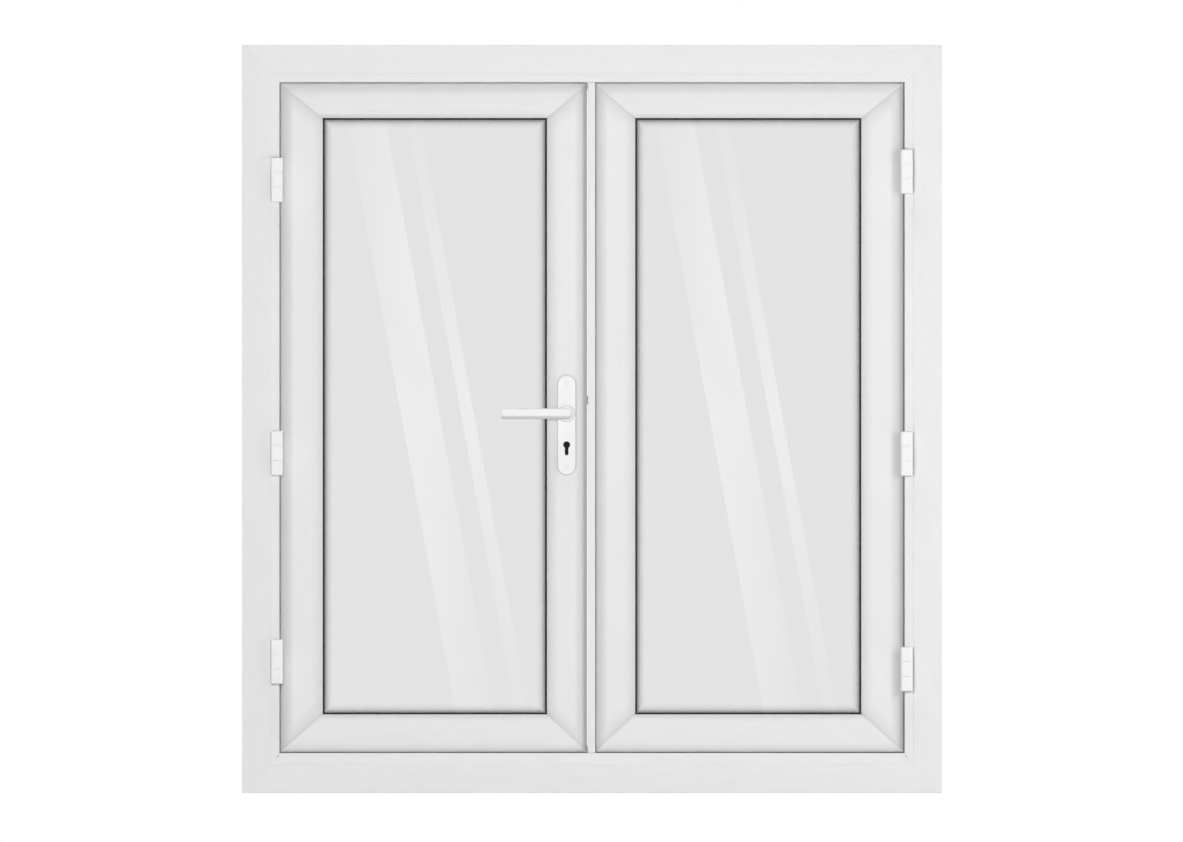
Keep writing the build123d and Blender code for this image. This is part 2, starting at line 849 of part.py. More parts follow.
def handle_plate(side):
    """The long plate on a face of the door: rounded ends, a softened front edge and its holes."""
    face = door_front if side < 0 else door_back
    with BuildPart() as plate:
        with BuildSketch(facing_plane(handle_x, plate_middle, face, side)):
            SlotOverall(plate_height, plate_width, rotation=90)
        extrude(amount=plate_thickness)
        outer = plate.faces().filter_by(Axis.Y).sort_by(Axis.Y)[0 if side < 0 else -1]
        chamfer(outer.edges(), plate_edge_bevel)
        with BuildSketch(facing_plane(handle_x, handle_height, face, side)):
            Circle(neck_radius + running)
        extrude(amount=plate_thickness, mode=Mode.SUBTRACT)
        with BuildSketch(facing_plane(handle_x, cylinder_height, face, side)):
            euro_profile(euro_radius, euro_slot, euro_height)
        extrude(amount=plate_thickness, mode=Mode.SUBTRACT)
        for k in (-1, 1):
            height = plate_middle + k * screw_spacing / 2
            with BuildSketch(facing_plane(handle_x, height, face, side)):
                Circle(screw_radius + fit)
            extrude(amount=plate_thickness, mode=Mode.SUBTRACT)
            if side < 0:
                seat = face + side * (plate_thickness - screw_head_height)
                with BuildSketch(facing_plane(handle_x, height, seat, side)):
                    Circle(screw_head_radius + fit)
                extrude(amount=screw_head_height, mode=Mode.SUBTRACT)
    return plate


def lever(side):
    """The handle that turns: collar, neck and a rounded grip that points to the hinges."""
    face = door_front if side < 0 else door_back
    plate_front = face + side * plate_thickness
    grip_back = plate_front + side * (grip_reach - grip_depth)
    with BuildPart() as handle:
        shift = grip_length / 2 - grip_past_axis
        with BuildSketch(facing_plane(handle_x - shift, handle_height, grip_back, side)):
            SlotOverall(grip_length, grip_height)
        extrude(amount=grip_depth)
        chamfer(handle.edges().filter_by(Plane.XZ), grip_edge_bevel)
        with BuildSketch(facing_plane(handle_x, handle_height, face + side * neck_start, side)):
            Circle(neck_radius)
        extrude(amount=abs(grip_back - face) - neck_start + grip_depth / 2)
        with BuildSketch(facing_plane(handle_x, handle_height, plate_front, side)):
            Circle(collar_radius)
        extrude(amount=collar_thickness)
        circles = handle.edges().filter_by(GeomType.CIRCLE)
        rims = circles.filter_by(lambda edge: edge.radius > collar_radius - fit)
        chamfer(rims.sort_by(Axis.Y)[0 if side < 0 else -1], collar_edge_bevel)
        socket = spindle_size + 2 * running
        with BuildSketch(facing_plane(handle_x, handle_height, face, side)):
            Rectangle(socket, socket)
        extrude(amount=socket_end, mode=Mode.SUBTRACT)
    return handle


def spindle():
    front = door_front - socket_end
    back = door_back + socket_end
    with BuildPart() as bar:
        with BuildSketch(facing_plane(handle_x, handle_height, front, 1)):
            Rectangle(spindle_size, spindle_size)
        extrude(amount=back - front)
    return bar


def handle_screws():
    """Two long screws that clamp the plates to the stile. Their heads sit in the outer plate."""
    head = door_front - plate_thickness
    with BuildPart() as screws:
        for k in (-1, 1):
            height = plate_middle + k * screw_spacing / 2
            with BuildSketch(facing_plane(handle_x, height, head, 1)):
                Circle(screw_head_radius)
            extrude(amount=screw_head_height)
            with BuildSketch(facing_plane(handle_x, height, head, 1)):
                Circle(screw_radius)
            extrude(amount=door_back - head + plate_thickness - screw_end_cover)
            with BuildSketch(facing_plane(handle_x, height, head, 1)):
                Rectangle(screw_slot, screw_head_radius + screw_slot)
                Rectangle(screw_head_radius + screw_slot, screw_slot)
            extrude(amount=screw_slot, mode=Mode.SUBTRACT)
    return screws


# Slim mullion between the doors, carried by the right door
mullion_left = mullion_to_right_door - mullion_width


def mullion():
    """A hollow bar with a seal groove, two keep pockets and slots for the finger tabs."""
    x = (mullion_left, mullion_to_right_door)
    y = (mullion_front, door_step)
    z = (door_bottom, door_top)
    with BuildPart() as bar:
        block(x, y, z)
        front = bar.faces().sort_by(Axis.Y)[0]
        fillet(front.edges().filter_by(Axis.Z), mullion_edge_radius)
        w = mullion_wall
        cut((x[0] + w, x[1] - w), (y[0] + w, y[1] - w), (z[0] - 1, z[1] + 1))
        seal_y = (edge_front - mullion_seal_width, edge_front)
        cut((x[0], x[0] + mullion_seal_depth), seal_y, (z[0] - 1, z[1] + 1))
        for centre, height, thick in bolt_windows:
            high = height / 2 + keep_play
            deep_half = thick / 2 + keep_play
            cut((x[0], x[0] + w), (lock_y - deep_half, lock_y + deep_half), (centre - high, centre + high))
        for up in (-1, 1):
            low, high = tab_slot(up)
            cut((bolt_x - tab_width / 2 - fit, bolt_x + tab_width / 2 + fit), (y[1] - w, y[1]), (low, high))
    return bar


def tab_slot(up):
    """The lowest and highest point of the slot that a slide bolt's tab moves in."""
    base = door_top if up > 0 else door_bottom
    tab = base - up * (cap_thickness + tab_from_cap)
    ends = (tab - up * (slide_tab_height / 2 + fit), tab + up * (slide_tab_height / 2 + slide_bolt_throw + fit))
    return min(ends), max(ends)


def mullion_seal():
    with BuildPart() as seal:
        seal_y = (edge_front - mullion_seal_width, edge_front)
        block((mullion_left - fit, mullion_left + mullion_seal_depth), seal_y, (door_bottom, door_top))
    return seal


def mullion_caps():
    """Plugs in the mullion's ends, each with a guide hole for its slide bolt."""
    w = mullion_wall
    with BuildPart() as caps:
        for up in (-1, 1):
            end = door_top if up > 0 else door_bottom
            x = (mullion_left + w, mullion_to_right_door - w)
            block(x, (mullion_front + w, door_step - w), (end, end - up * cap_thickness))
            with Locations((bolt_x, bolt_y, end)):
                Cylinder(slide_bolt_radius + running, 3 * cap_thickness, mode=Mode.SUBTRACT)
    return caps


def slide_bolt(up):
    """A rod in the mullion with a finger tab that comes out of its back."""
    end = door_top if up > 0 else door_bottom
    tip = end - up * slide_bolt_rest
    tab = end - up * (cap_thickness + tab_from_cap)
    with BuildPart() as bolt:
        with Locations((bolt_x, bolt_y, tip - up * slide_bolt_length / 2)):
            Cylinder(slide_bolt_radius, slide_bolt_length)
        chamfer(bolt.faces().filter_by(Axis.Z).sort_by(Axis.Z)[-1 if up > 0 else 0].edges(), 1.0)
        half = slide_tab_height / 2
        x = (bolt_x - tab_width / 2, bolt_x + tab_width / 2)
        block(x, (bolt_y, door_step + tab_reach), (tab - half, tab + half))
    return bolt


def slide_bolt_keeps():
    """Sleeves in the head and the sill that the slide bolts shoot into."""
    with BuildPart() as keeps:
        for up, place in ((1, reveal_top), (-1, sill_face)):
            far = place + up * keep_length
            with Locations((bolt_x, bolt_y, (place + far) / 2)):
                Cylinder(slide_bolt_radius + running + keep_wall, keep_length)
                Cylinder(slide_bolt_radius + running, keep_length, mode=Mode.SUBTRACT)
    return keeps


def lock_keep():
    """The steel lining of the two bolt pockets, inside the mullion."""
    with BuildPart() as keep:
        x0 = mullion_left + mullion_wall
        low = min(c - h / 2 for c, h, t in bolt_windows) - keep_margin
        high = max(c + h / 2 for c, h, t in bolt_windows) + keep_margin
        half = faceplate_width / 2 + keep_play
        block((x0, x0 + keep_thickness), (lock_y - half, lock_y + half), (low, high))
        for centre, height, thick in bolt_windows:
            tall = height / 2 + keep_play
            deep_half = thick / 2 + keep_play
            cut((x0, x0 + keep_thickness), (lock_y - deep_half, lock_y + deep_half), (centre - tall, centre + tall))
    return keep


os.makedirs("parts", exist_ok=True)

for side in frame_places:
    save(frame_bar(side), f"frame_{side}")
save(frame_steel(), "frame_steel")
save(frame_seal(), "frame_seal")
save(hinge_pins(), "hinge_pins")
save(slide_bolt_keeps(), "slide_bolt_keeps")

for door, heights in hinge_heights.items():
    outward = -1 if door == "left" else 1
    for level, centre in heights.items():
        save(hinge_frame_leaf(outward, centre), f"{door}_{level}_hinge_frame_leaf")
        save(hinge_door_leaf(outward, centre), f"{door}_{level}_hinge_door_leaf")
    for side in ("hinge_stile", "lock_stile", "top_rail", "bottom_rail"):
        member = door_member(door, side)
        if door == "left" and side == "lock_stile":
            with BuildPart() as drilled:
                add(member.part)
                lock_cuts()
            member = drilled
        save(member, f"{door}_{side}")
    save(door_steel(door), f"{door}_door_steel")
    save(panes(door), f"{door}_panes")
    save(spacer(door), f"{door}_spacer")
    save(glazing_seals(door), f"{door}_glazing_seals")
    save_group(beads(door), f"{door}_beads")
    save(packers(door), f"{door}_packers")

save(faceplate(), "lock_faceplate")
save(lock_case(), "lock_case")
save(lock_follower(), "lock_follower")
save(latch_bolt(), "latch_bolt")
save(dead_bolt(), "dead_bolt")
save(cylinder_body(), "lock_cylinder")
save(key_plug(), "key_plug")
save(handle_plate(-1), "outer_handle_plate")
save(handle_plate(1), "inner_handle_plate")
save(handle_screws(), "handle_screws")
save(lever(-1), "outer_handle")
save(lever(1), "inner_handle")
save(spindle(), "spindle")
save(mullion(), "mullion")
save(mullion_seal(), "mullion_seal")
save(mullion_caps(), "mullion_caps")
save(lock_keep(), "lock_keep")
save(slide_bolt(1), "top_slide_bolt")
save(slide_bolt(-1), "bottom_slide_bolt")
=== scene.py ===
import json
from math import asin, atan2, cos, pi, radians, sin, sqrt, tan

import bmesh
import bpy
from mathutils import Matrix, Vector


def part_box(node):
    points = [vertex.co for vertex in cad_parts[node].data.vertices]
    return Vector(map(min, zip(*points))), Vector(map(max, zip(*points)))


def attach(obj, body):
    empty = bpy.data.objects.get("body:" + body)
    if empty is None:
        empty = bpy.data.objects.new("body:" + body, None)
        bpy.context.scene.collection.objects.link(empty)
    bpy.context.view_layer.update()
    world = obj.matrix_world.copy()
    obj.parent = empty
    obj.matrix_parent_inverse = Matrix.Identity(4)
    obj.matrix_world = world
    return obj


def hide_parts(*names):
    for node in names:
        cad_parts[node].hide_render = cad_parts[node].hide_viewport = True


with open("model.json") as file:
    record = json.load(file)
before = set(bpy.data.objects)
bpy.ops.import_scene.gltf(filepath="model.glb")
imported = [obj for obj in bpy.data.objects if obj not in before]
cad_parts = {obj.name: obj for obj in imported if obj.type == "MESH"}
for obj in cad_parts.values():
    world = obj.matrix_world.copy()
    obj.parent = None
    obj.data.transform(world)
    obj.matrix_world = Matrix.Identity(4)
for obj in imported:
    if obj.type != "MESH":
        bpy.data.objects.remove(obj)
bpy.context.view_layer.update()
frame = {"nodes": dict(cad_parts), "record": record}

nodes = frame["nodes"]
MM = 0.001
# A length too small to see, which keeps faces and corners from coinciding
hair = 0.05 * MM
rounding_error = 1e-9


def low(node):
    """A CAD node's lowest corner at rest, in metres."""
    return Vector(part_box(node)[0])


def high(node):
    """A CAD node's highest corner at rest, in metres."""
    return Vector(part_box(node)[1])


# Outer frame, in metres
half_width = high("frame_head").x
frame_height = high("frame_head").z
frame_front = -40 * MM
frame_back = high("frame_head").y
jamb_face = 105 * MM
head_face = 104 * MM
sill_face = 112 * MM
band_width = 79 * MM
band_step = 1.5 * MM
band_slope_drop = 5.5 * MM
band_round = 2.2 * MM
step_foot_round = 0.7 * MM
step_top_round = 0.5 * MM
stop_round = 1.2 * MM
frame_back_round = 0.8 * MM
stop_front = 21 * MM
stop_height = 21 * MM
fixing_radius = 4 * MM
fixing_from_corner = 250 * MM
fixing_past = 9 * MM
bolt_y = -10.5 * MM
keep_length = 30 * MM
fit = 0.3 * MM

# Doors
door_edge = high("right_hinge_stile").x
door_bottom = low("right_hinge_stile").z
door_top = high("right_hinge_stile").z
door_front = low("right_hinge_stile").y
door_back = high("right_hinge_stile").y
hinge_stile_face = door_edge - low("right_hinge_stile").x
lock_stile_face = high("right_lock_stile").x - low("right_lock_stile").x
top_rail_face = door_top - low("right_top_rail").z
bottom_rail_face = high("right_bottom_rail").z - door_bottom
meeting = {"left": high("left_lock_stile").x, "right": low("right_lock_stile").x}
nominal_face = 116 * MM
nose_width = 36 * MM
edge_front = -7 * MM
slope_width = 34 * MM
lip_front = -14 * MM
lip_back = -13 * MM
pocket_floor = 96 * MM
rebate = 24 * MM
door_step = 17 * MM
door_back_round = 1.5 * MM
door_step_round = 0.8 * MM
pocket_round = 0.6 * MM
weld_half_width = 1.0 * MM
weld_depth = 0.7 * MM
# Painted shade on the stiles: how far their colour goes to the darker grey at the rolled outer edge
# and on the slope down to the glass
edge_painted_shade = 0.56
slope_painted_shade = 0.36
# Painted shade on a stile at each distance from its mitre: how far its colour goes to the darker
# grey. The first two distances are the weld's groove
mitre_painted_shade = [(0, 0.8), (weld_half_width, 0.7), (16 * MM, 0.36), (55 * MM, 0)]

# Double glazing
glass_front = low("left_panes").y
glass_back = high("left_panes").y
pane_thickness = 4 * MM
edge_cover = 15 * MM
seal_show = 5.4 * MM
wedge_back = 1 * MM
wedge_depth = 3 * MM
wedge_round = 1.2 * MM
wedge_foot_round = 0.5 * MM
bulb_round = 1.6 * MM
bulb_foot_round = 0.6 * MM
seal_gap = 0.1 * MM
# Painted shade on a pane, standing in for the rebate's shade on the glass: how dark it is at each
# distance in from the edge of the door's opening
pane_painted_shade = [
    (-edge_cover, 1.0),
    (seal_show - 2 * MM, 1.0),
    (seal_show + 4 * MM, 0.62),
    (seal_show + 9 * MM, 0.28),
    (seal_show + 15 * MM, 0.10),
    (seal_show + 24 * MM, 0.0),
]

# Hinges
hinge_depth = 24 * MM
hinge_width = 34 * MM
hinge_corner = 8 * MM
hinge_end_round = 5 * MM
hinge_end_steps = 5
# Painted shade round the hinge barrels: how wide the grey line is and how dark
hinge_rim_width = 3 * MM
hinge_painted_shade = 0.8
hinge_axis_y = -60.5 * MM
hinge_axis_x = door_edge + 10 * MM
hinge_height = 126 * MM
knuckle_gap = 0.5 * MM
knuckle_bevel = 0.4 * MM
hinge_plate = 2.5 * MM
plate_lap = 3 * MM
plate_bevel = 0.7 * MM
stem_start = 2 * MM
stem_end = 14 * MM
stem_bevel = 0.8 * MM
leaf_thickness = 2.2 * MM
leaf_bevel = 0.4 * MM
leaf_overlap = 1 * MM

# Handles and lock
handle_x = -71 * MM
handle_z = 1062 * MM
cylinder_z = 975 * MM
plate_width = 53 * MM
plate_height = 280 * MM
plate_thickness = 10 * MM
plate_middle = 1030 * MM
plate_round = 3 * MM
plate_round_steps = 6
screw_heights = (plate_middle - 117.5 * MM, plate_middle + 117.5 * MM)
screw_radius = 2.5 * MM
screw_head = 4.5 * MM
screw_head_depth = 2.5 * MM
drill_length = 200 * MM
drill_past = 1 * MM
spindle_hole = 13 * MM
key_circle = 10 * MM
key_slot = 11 * MM
key_height = 40 * MM
collar_radius = 23 * MM
collar_thickness = 4 * MM
collar_round = 1.6 * MM
# The outer band of the collar that carries painted shade
collar_rim_width = 1.2 * MM
neck_radius = 10 * MM
neck_clearance = 0.1 * MM
neck_sunk = 2 * MM
collar_overlap = 1 * MM
collar_gap = 2 * MM
neck_root = 3 * MM
root_overlap = 0.2 * MM
turned_steps = 5
grip_right = handle_x + 13 * MM
grip_left = handle_x - 184 * MM
grip_height = 30 * MM
grip_depth = 16 * MM
grip_reach = 47 * MM
grip_end_round = 8 * MM
grip_neck_round = 13 * MM
grip_round_steps = 7
grip_depth_share = 0.55
grip_power = 2 / 2.5
# Painted shade under the grip: how dark it is, where across its half height it starts, and how far it
# fades in
under_grip_painted_shade = 0.6
under_grip_start = 0.3
under_grip_blend = 0.3

# Slim mullion's end pieces
end_piece_depth = 10 * MM
end_piece_gap = 0.4 * MM
end_piece_bevel = 0.6 * MM
tongue_width = 2.2 * MM
tongue_past_stop = 4 * MM

# Which way each side is along X
SIDE = {"left": -1, "right": 1}

# The photograph in pixels: its size, the real length of a pixel, and where the middle of the
# doors and the floor are in it
PHOTO_WIDTH = 1183
PHOTO_HEIGHT = 842
PIXEL = 2.8 * MM
CENTRE_PX = 592
FLOOR_PY = 793
# The camera stands off in metres, and sees as far as its reach
CAMERA_DISTANCE = 8
CAMERA_REACH = 200


def from_photo(px, py):
    """A pixel of the photograph as x and z in metres."""
    return ((px - CENTRE_PX) * PIXEL, (FLOOR_PY - py) * PIXEL)


def linear(hex_colour):
    """An sRGB hex colour as linear RGBA."""
    parts = [int(hex_colour[i : i + 2], 16) / 255 for i in (1, 3, 5)]
    return tuple(c / 12.92 if c <= 0.04045 else ((c + 0.055) / 1.055) ** 2.4 for c in parts) + (1.0,)


# Materials
def new_material(name):
    """A material with an empty node tree."""
    material = bpy.data.materials.new(name)
    material.use_nodes = True
    material.node_tree.nodes.clear()
    return material


def add_node(owner, kind, feeds=None, **settings):
    """Adds a node to a material or to the world. Settings are node properties or the values of
    named sockets. Feeds give a socket, by name or number, another node's output or a value."""
    tree = owner.node_tree
    node = tree.nodes.new(kind)
    for key, value in settings.items():
        name = key.replace("_", " ")
        socket = next((s for s in node.inputs if s.name.lower() == name.lower()), None)
        if hasattr(node, key):
            setattr(node, key, value)
        elif socket is not None:
            socket.default_value = value
        else:
            raise ValueError(f"{kind} has no {key}")
    for socket, source in (feeds or {}).items():
        if isinstance(source, bpy.types.NodeSocket):
            tree.links.new(source, node.inputs[socket])
        else:
            node.inputs[socket].default_value = source
    return node


# The Mix node's sockets for colours, by number, since its names repeat
COLOUR_A = 6
COLOUR_B = 7
COLOUR_OUT = 2


def surface(material, shader):
    """Ends a material's nodes with a shader for its surface."""
    add_node(material, "ShaderNodeOutputMaterial", {"Surface": shader})
    return material


def grain_coordinates(material, along, spacing, stretch):
    """Object coordinates in which one unit is the given spacing, drawn out along one axis."""
    place = add_node(material, "ShaderNodeTexCoord")
    scale = [1 / spacing] * 3
    scale["XYZ".index(along)] = 1 / (spacing * stretch)
    mapping = add_node(material, "ShaderNodeMapping", {"Vector": place.outputs["Object"]}, Scale=scale)
    return mapping.outputs["Vector"]


def extruded_pvc(name, along):
    """White PVC-U, pushed through a die and sized in a cooled calibrator: a clean satin white whose
    reflections are drawn out a little along the bar, with hardly any colour change of its own.
    Painted shade mixes the white towards a darker grey at the points that a mesh marks for it."""
    material = new_material(name)
    die_line_width = 1.6 * MM
    ripple_width = 14 * MM
    lines = add_node(
        material, "ShaderNodeTexNoise",
        {"Vector": grain_coordinates(material, along, die_line_width, stretch=60)},
        Scale=1.0, Detail=3.0,
    )
    ripples = add_node(
        material, "ShaderNodeTexNoise",
        {"Vector": grain_coordinates(material, along, ripple_width, stretch=5)},
        Scale=1.0, Detail=2.0,
    )
    white = add_node(
        material, "ShaderNodeMix",
        {"Factor": ripples.outputs["Fac"], COLOUR_A: linear("#e6e6e6"), COLOUR_B: linear("#ebebea")},
        data_type="RGBA",
    )
    # Painted shade: at the points a mesh marks, the white goes towards this darker grey
    shade = add_node(material, "ShaderNodeAttribute", attribute_name="painted_profile_shade")
    tone = add_node(
        material, "ShaderNodeMix",
        {
            "Factor": shade.outputs["Fac"],
            COLOUR_A: white.outputs[COLOUR_OUT],
            COLOUR_B: linear("#c9c9c9"),
        },
        data_type="RGBA",
    )
    rough = add_node(
        material, "ShaderNodeMapRange", {"Value": lines.outputs["Fac"]}, To_Min=0.30, To_Max=0.38
    )
    fine = add_node(
        material, "ShaderNodeBump", {"Height": lines.outputs["Fac"]}, Strength=0.05, Distance=0.1 * MM
    )
    wide = add_node(
        material, "ShaderNodeBump",
        {"Height": ripples.outputs["Fac"], "Normal": fine.outputs["Normal"]},
        Strength=0.06, Distance=0.4 * MM,
    )
    shader = add_node(
        material, "ShaderNodeBsdfPrincipled",
        {
            "Base Color": tone.outputs[COLOUR_OUT],
            "Roughness": rough.outputs["Result"],
            "Normal": wide.outputs["Normal"],
        },
        IOR=1.53,
    )
    return surface(material, shader.outputs["BSDF"])


def plain_finish(name, colour, roughness, grain, depth, metallic=0.0, rim=None):
    """A finish with a fine even grain in its bump and roughness. rim is the colour of a painted
    shade, which is mixed in at the points that a mesh marks for it."""
    vary = 0.04
    material = new_material(name)
    noise = add_node(
        material, "ShaderNodeTexNoise",
        {"Vector": grain_coordinates(material, "Z", grain, stretch=1)}, Scale=1.0, Detail=3.0,
    )
    rough = add_node(
        material, "ShaderNodeMapRange", {"Value": noise.outputs["Fac"]},
        To_Min=roughness - vary, To_Max=roughness + vary,
    )
    bump = add_node(
        material, "ShaderNodeBump", {"Height": noise.outputs["Fac"]}, Strength=0.2, Distance=depth
    )
    shader = add_node(
        material, "ShaderNodeBsdfPrincipled",
        {"Roughness": rough.outputs["Result"], "Normal": bump.outputs["Normal"]},
        Base_Color=linear(colour), Metallic=metallic,
    )
    if rim:
        # Painted shade: the marked points are mixed towards the rim colour
        shade = add_node(material, "ShaderNodeAttribute", attribute_name="painted_rim_shade")
        tone = add_node(
            material, "ShaderNodeMix",
            {"Factor": shade.outputs["Fac"], COLOUR_A: linear(colour), COLOUR_B: linear(rim)},
            data_type="RGBA",
        )
        material.node_tree.links.new(tone.outputs[COLOUR_OUT], shader.inputs["Base Color"])
    return surface(material, shader.outputs["BSDF"])


def float_glass():
    """Clear float glass with a slight grey cast and sharp reflections. The outer sheet has a painted
    shade towards its edge, a dark grey that stands in for the shade of the deep rebate round it.
    Light passes to the floor."""
    material = new_material("float_glass")
    # Painted shade: towards the pane's edge its colour goes to this dark grey
    shade = add_node(material, "ShaderNodeAttribute", attribute_name="pane_painted_shade")
    tone = add_node(
        material, "ShaderNodeMix",
        {"Factor": shade.outputs["Fac"], COLOUR_A: linear("#f0f0f0"), COLOUR_B: linear("#6e6e6e")},
        data_type="RGBA",
    )
    shader = add_node(
        material, "ShaderNodeBsdfPrincipled",
        {"Base Color": tone.outputs[COLOUR_OUT]},
        Roughness=0.0, IOR=1.5, Transmission_Weight=1.0,
    )
    clear = add_node(material, "ShaderNodeBsdfTransparent", Color=linear("#f1f1f1"))
    path = add_node(material, "ShaderNodeLightPath")
    mix = add_node(
        material, "ShaderNodeMixShader",
        {0: path.outputs["Is Shadow Ray"], 1: shader.outputs["BSDF"], 2: clear.outputs["BSDF"]},
    )
    return surface(material, mix.outputs["Shader"])


upright_pvc = extruded_pvc("extruded_white_pvc_upright", "Z")
level_pvc = extruded_pvc("extruded_white_pvc_level", "X")
# Zinc alloy, cast, then powder coated: brighter than the PVC, with a fine orange peel. Its rim
# colour is painted shade, mixed in along the edges of the plates, hinges and collars and under the
# grips
coated_zinc = plain_finish("powder_coated_zinc", "#f3f3f3", 0.3, 0.9 * MM, 0.03 * MM, rim="#a8a8a8")
# Synthetic rubber, extruded: dark, dry and matt
epdm = plain_finish("extruded_epdm_rubber", "#1d1d1e", 0.7, 0.6 * MM, 0.05 * MM)
# Thermoplastic elastomer, extruded: the softer grey seal that the doors close on
grey_tpe = plain_finish("extruded_grey_tpe", "#a3a5a6", 0.6, 0.6 * MM, 0.05 * MM)
# Steel with a bright zinc plating: pale and cool, with fairly clear reflections
zinc_steel = plain_finish("zinc_plated_steel", "#c3c5c8", 0.34, 0.5 * MM, 0.02 * MM, metallic=1.0)
# Hot-dip galvanised steel strip: duller, with the broad grain of its crystals
galvanised = plain_finish("galvanised_steel", "#aeb1b3", 0.5, 8 * MM, 0.05 * MM, metallic=1.0)
# Aluminium spacer bar as it leaves the mill: light grey with a soft shine
spacer_alloy = plain_finish("mill_aluminium", "#c9cbcc", 0.4, 0.4 * MM, 0.02 * MM, metallic=1.0)
# Brass key cylinder, chemically darkened: nearly black, with a dull metal shine
dark_brass = plain_finish("darkened_brass", "#2b2a28", 0.45, 0.4 * MM, 0.02 * MM, metallic=1.0)
# Nylon packers, moulded: mid grey and softly matt
nylon = plain_finish("moulded_nylon", "#8b9096", 0.5, 1.0 * MM, 0.03 * MM)
glass = float_glass()

by_slot = {
    "white_pvc": upright_pvc,
    "galvanised_steel": galvanised,
    "rubber_seal": epdm,
    "glass": glass,
    "spacer_bar": spacer_alloy,
    "hinge_coating": coated_zinc,
    "handle_coating": coated_zinc,
    "zinc_plated_steel": zinc_steel,
    "key_cylinder": dark_brass,
    "packer_plastic": nylon,
}
slots = {p["node"]: p["material_slot"] for p in frame["record"]["subparts"]}
level_nodes = [
    "frame_head", "frame_sill",
    "left_top_rail", "left_bottom_rail",
    "right_top_rail", "right_bottom_rail",
]
door_seals = ["frame_seal", "mullion_seal"]
by_node = {name: level_pvc for name in level_nodes} | {name: grey_tpe for name in door_seals}
for node_name, node_object in nodes.items():
    finish = by_node.get(node_name, by_slot[slots[node_name]])
    node_object.data.materials.clear()
    node_object.data.materials.append(finish)


# Mesh helpers
def tangent_arc(flat, end, count):
    """An arc that leaves the level point flat without a crease and comes to the point end."""
    across = end[0] - flat[0]
    drop = end[1] - flat[1]
    radius = (across**2 + drop**2) / (2 * drop)
    full = asin(abs(across) / radius)
    side = 1 if across > 0 else -1
    arc = []
    for i in range(count + 1):
        angle = full * i / count
        arc.append((flat[0] + side * radius * sin(angle), flat[1] + radius * (1 - cos(angle))))
    return arc


def rounded(corners, steps=5):
    """A closed outline from corners of (a, b, radius), each rounded by an arc."""
    outline = []
    for i, (a, b, radius) in enumerate(corners):
        corner = Vector((a, b))
        if not radius:
            outline.append((a, b))
            continue
        before = (Vector(corners[i - 1][:2]) - corner).normalized()
        after = (Vector(corners[(i + 1) % len(corners)][:2]) - corner).normalized()
        half = before.angle(after) / 2
        centre = corner + (before + after).normalized() * radius / sin(half)
        start = corner + before * radius / tan(half) - centre
        end = corner + after * radius / tan(half) - centre
        angle = atan2(start.y, start.x)
        turn = (atan2(end.y, end.x) - angle + pi) % (2 * pi) - pi
        for step in range(steps + 1):
            now = angle + turn * step / steps
            outline.append((centre.x + radius * cos(now), centre.y + radius * sin(now)))
    return outline


def rectangle(low_a, high_a, low_b, high_b, radius=0.0, steps=5):
    """A rectangle's outline, with its corners rounded by the radius."""
    corners = [(low_a, low_b), (high_a, low_b), (high_a, high_b), (low_a, high_b)]
    return rounded([(a, b, radius) for a, b in corners], steps)


def skin(work, rings, looped=False):
    """Joins rings of points with the same count into a closed shell."""
    rows = [[work.verts.new(p) for p in ring] for ring in rings]
    pairs = list(zip(rows, rows[1:])) + ([(rows[-1], rows[0])] if looped else [])
    for near, far in pairs:
        for i in range(len(near)):
            j = (i + 1) % len(near)
            work.faces.new((near[i], near[j], far[j], far[i]))
    if not looped:
        work.faces.new(rows[0][::-1])
        work.faces.new(rows[-1])


def finished(name, work):
    """The mesh of a bmesh, with its faces turned outwards."""
    mesh = bpy.data.meshes.new(name)
    bmesh.ops.recalc_face_normals(work, faces=work.faces)
    work.to_mesh(mesh)
    work.free()
    return mesh


def shell(name, rings, looped=False):
    """The mesh of a closed shell through rings of points."""
    work = bmesh.new()
    skin(work, rings, looped)
    return finished(name, work)


def slab(work, x, y, z, bevel=0.0):
    """A block between two values on each axis, its edges rounded off."""
    made = bmesh.ops.create_cube(work, size=1.0)
    middle = Vector([(s[0] + s[1]) / 2 for s in (x, y, z)])
    size = [abs(s[1] - s[0]) for s in (x, y, z)]
    for vert in made["verts"]:
        vert.co = middle + Vector([c * s for c, s in zip(vert.co, size)])
    if bevel:
        edges = {edge for vert in made["verts"] for edge in vert.link_edges}
        bmesh.ops.bevel(work, geom=list(edges), offset=bevel, segments=2, affect="EDGES", profile=0.5)


def quarter(radius, steps):
    """A rounded edge as pairs: how far in along the piece, and how far in from its side."""
    turns = [pi / 2 * i / steps for i in range(steps + 1)]
    return [(radius * (1 - cos(turn)), radius * (1 - sin(turn))) for turn in turns]


def circle(radius, count=40):
    """Points round a circle about the origin, as pairs."""
    return [(radius * cos(2 * pi * i / count), radius * sin(2 * pi * i / count)) for i in range(count)]


def drum(centre, axis, radius, length, count=40):
    """A cylinder's mesh about a point, for cutting holes."""
    rings = []
    for end in (-length / 2, length / 2):
        ring = []
        for a, b in circle(radius, count):
            point = [a, b]
            point.insert("XYZ".index(axis), end)
            ring.append(Vector(centre) + Vector(point))
        rings.append(ring)
    return shell("drum", rings)


def prism(outline, y):
    """A mesh that runs along Y between two depths, from an outline in X and Z."""
    return shell("prism", [[(a, depth, b) for a, b in outline] for depth in y])


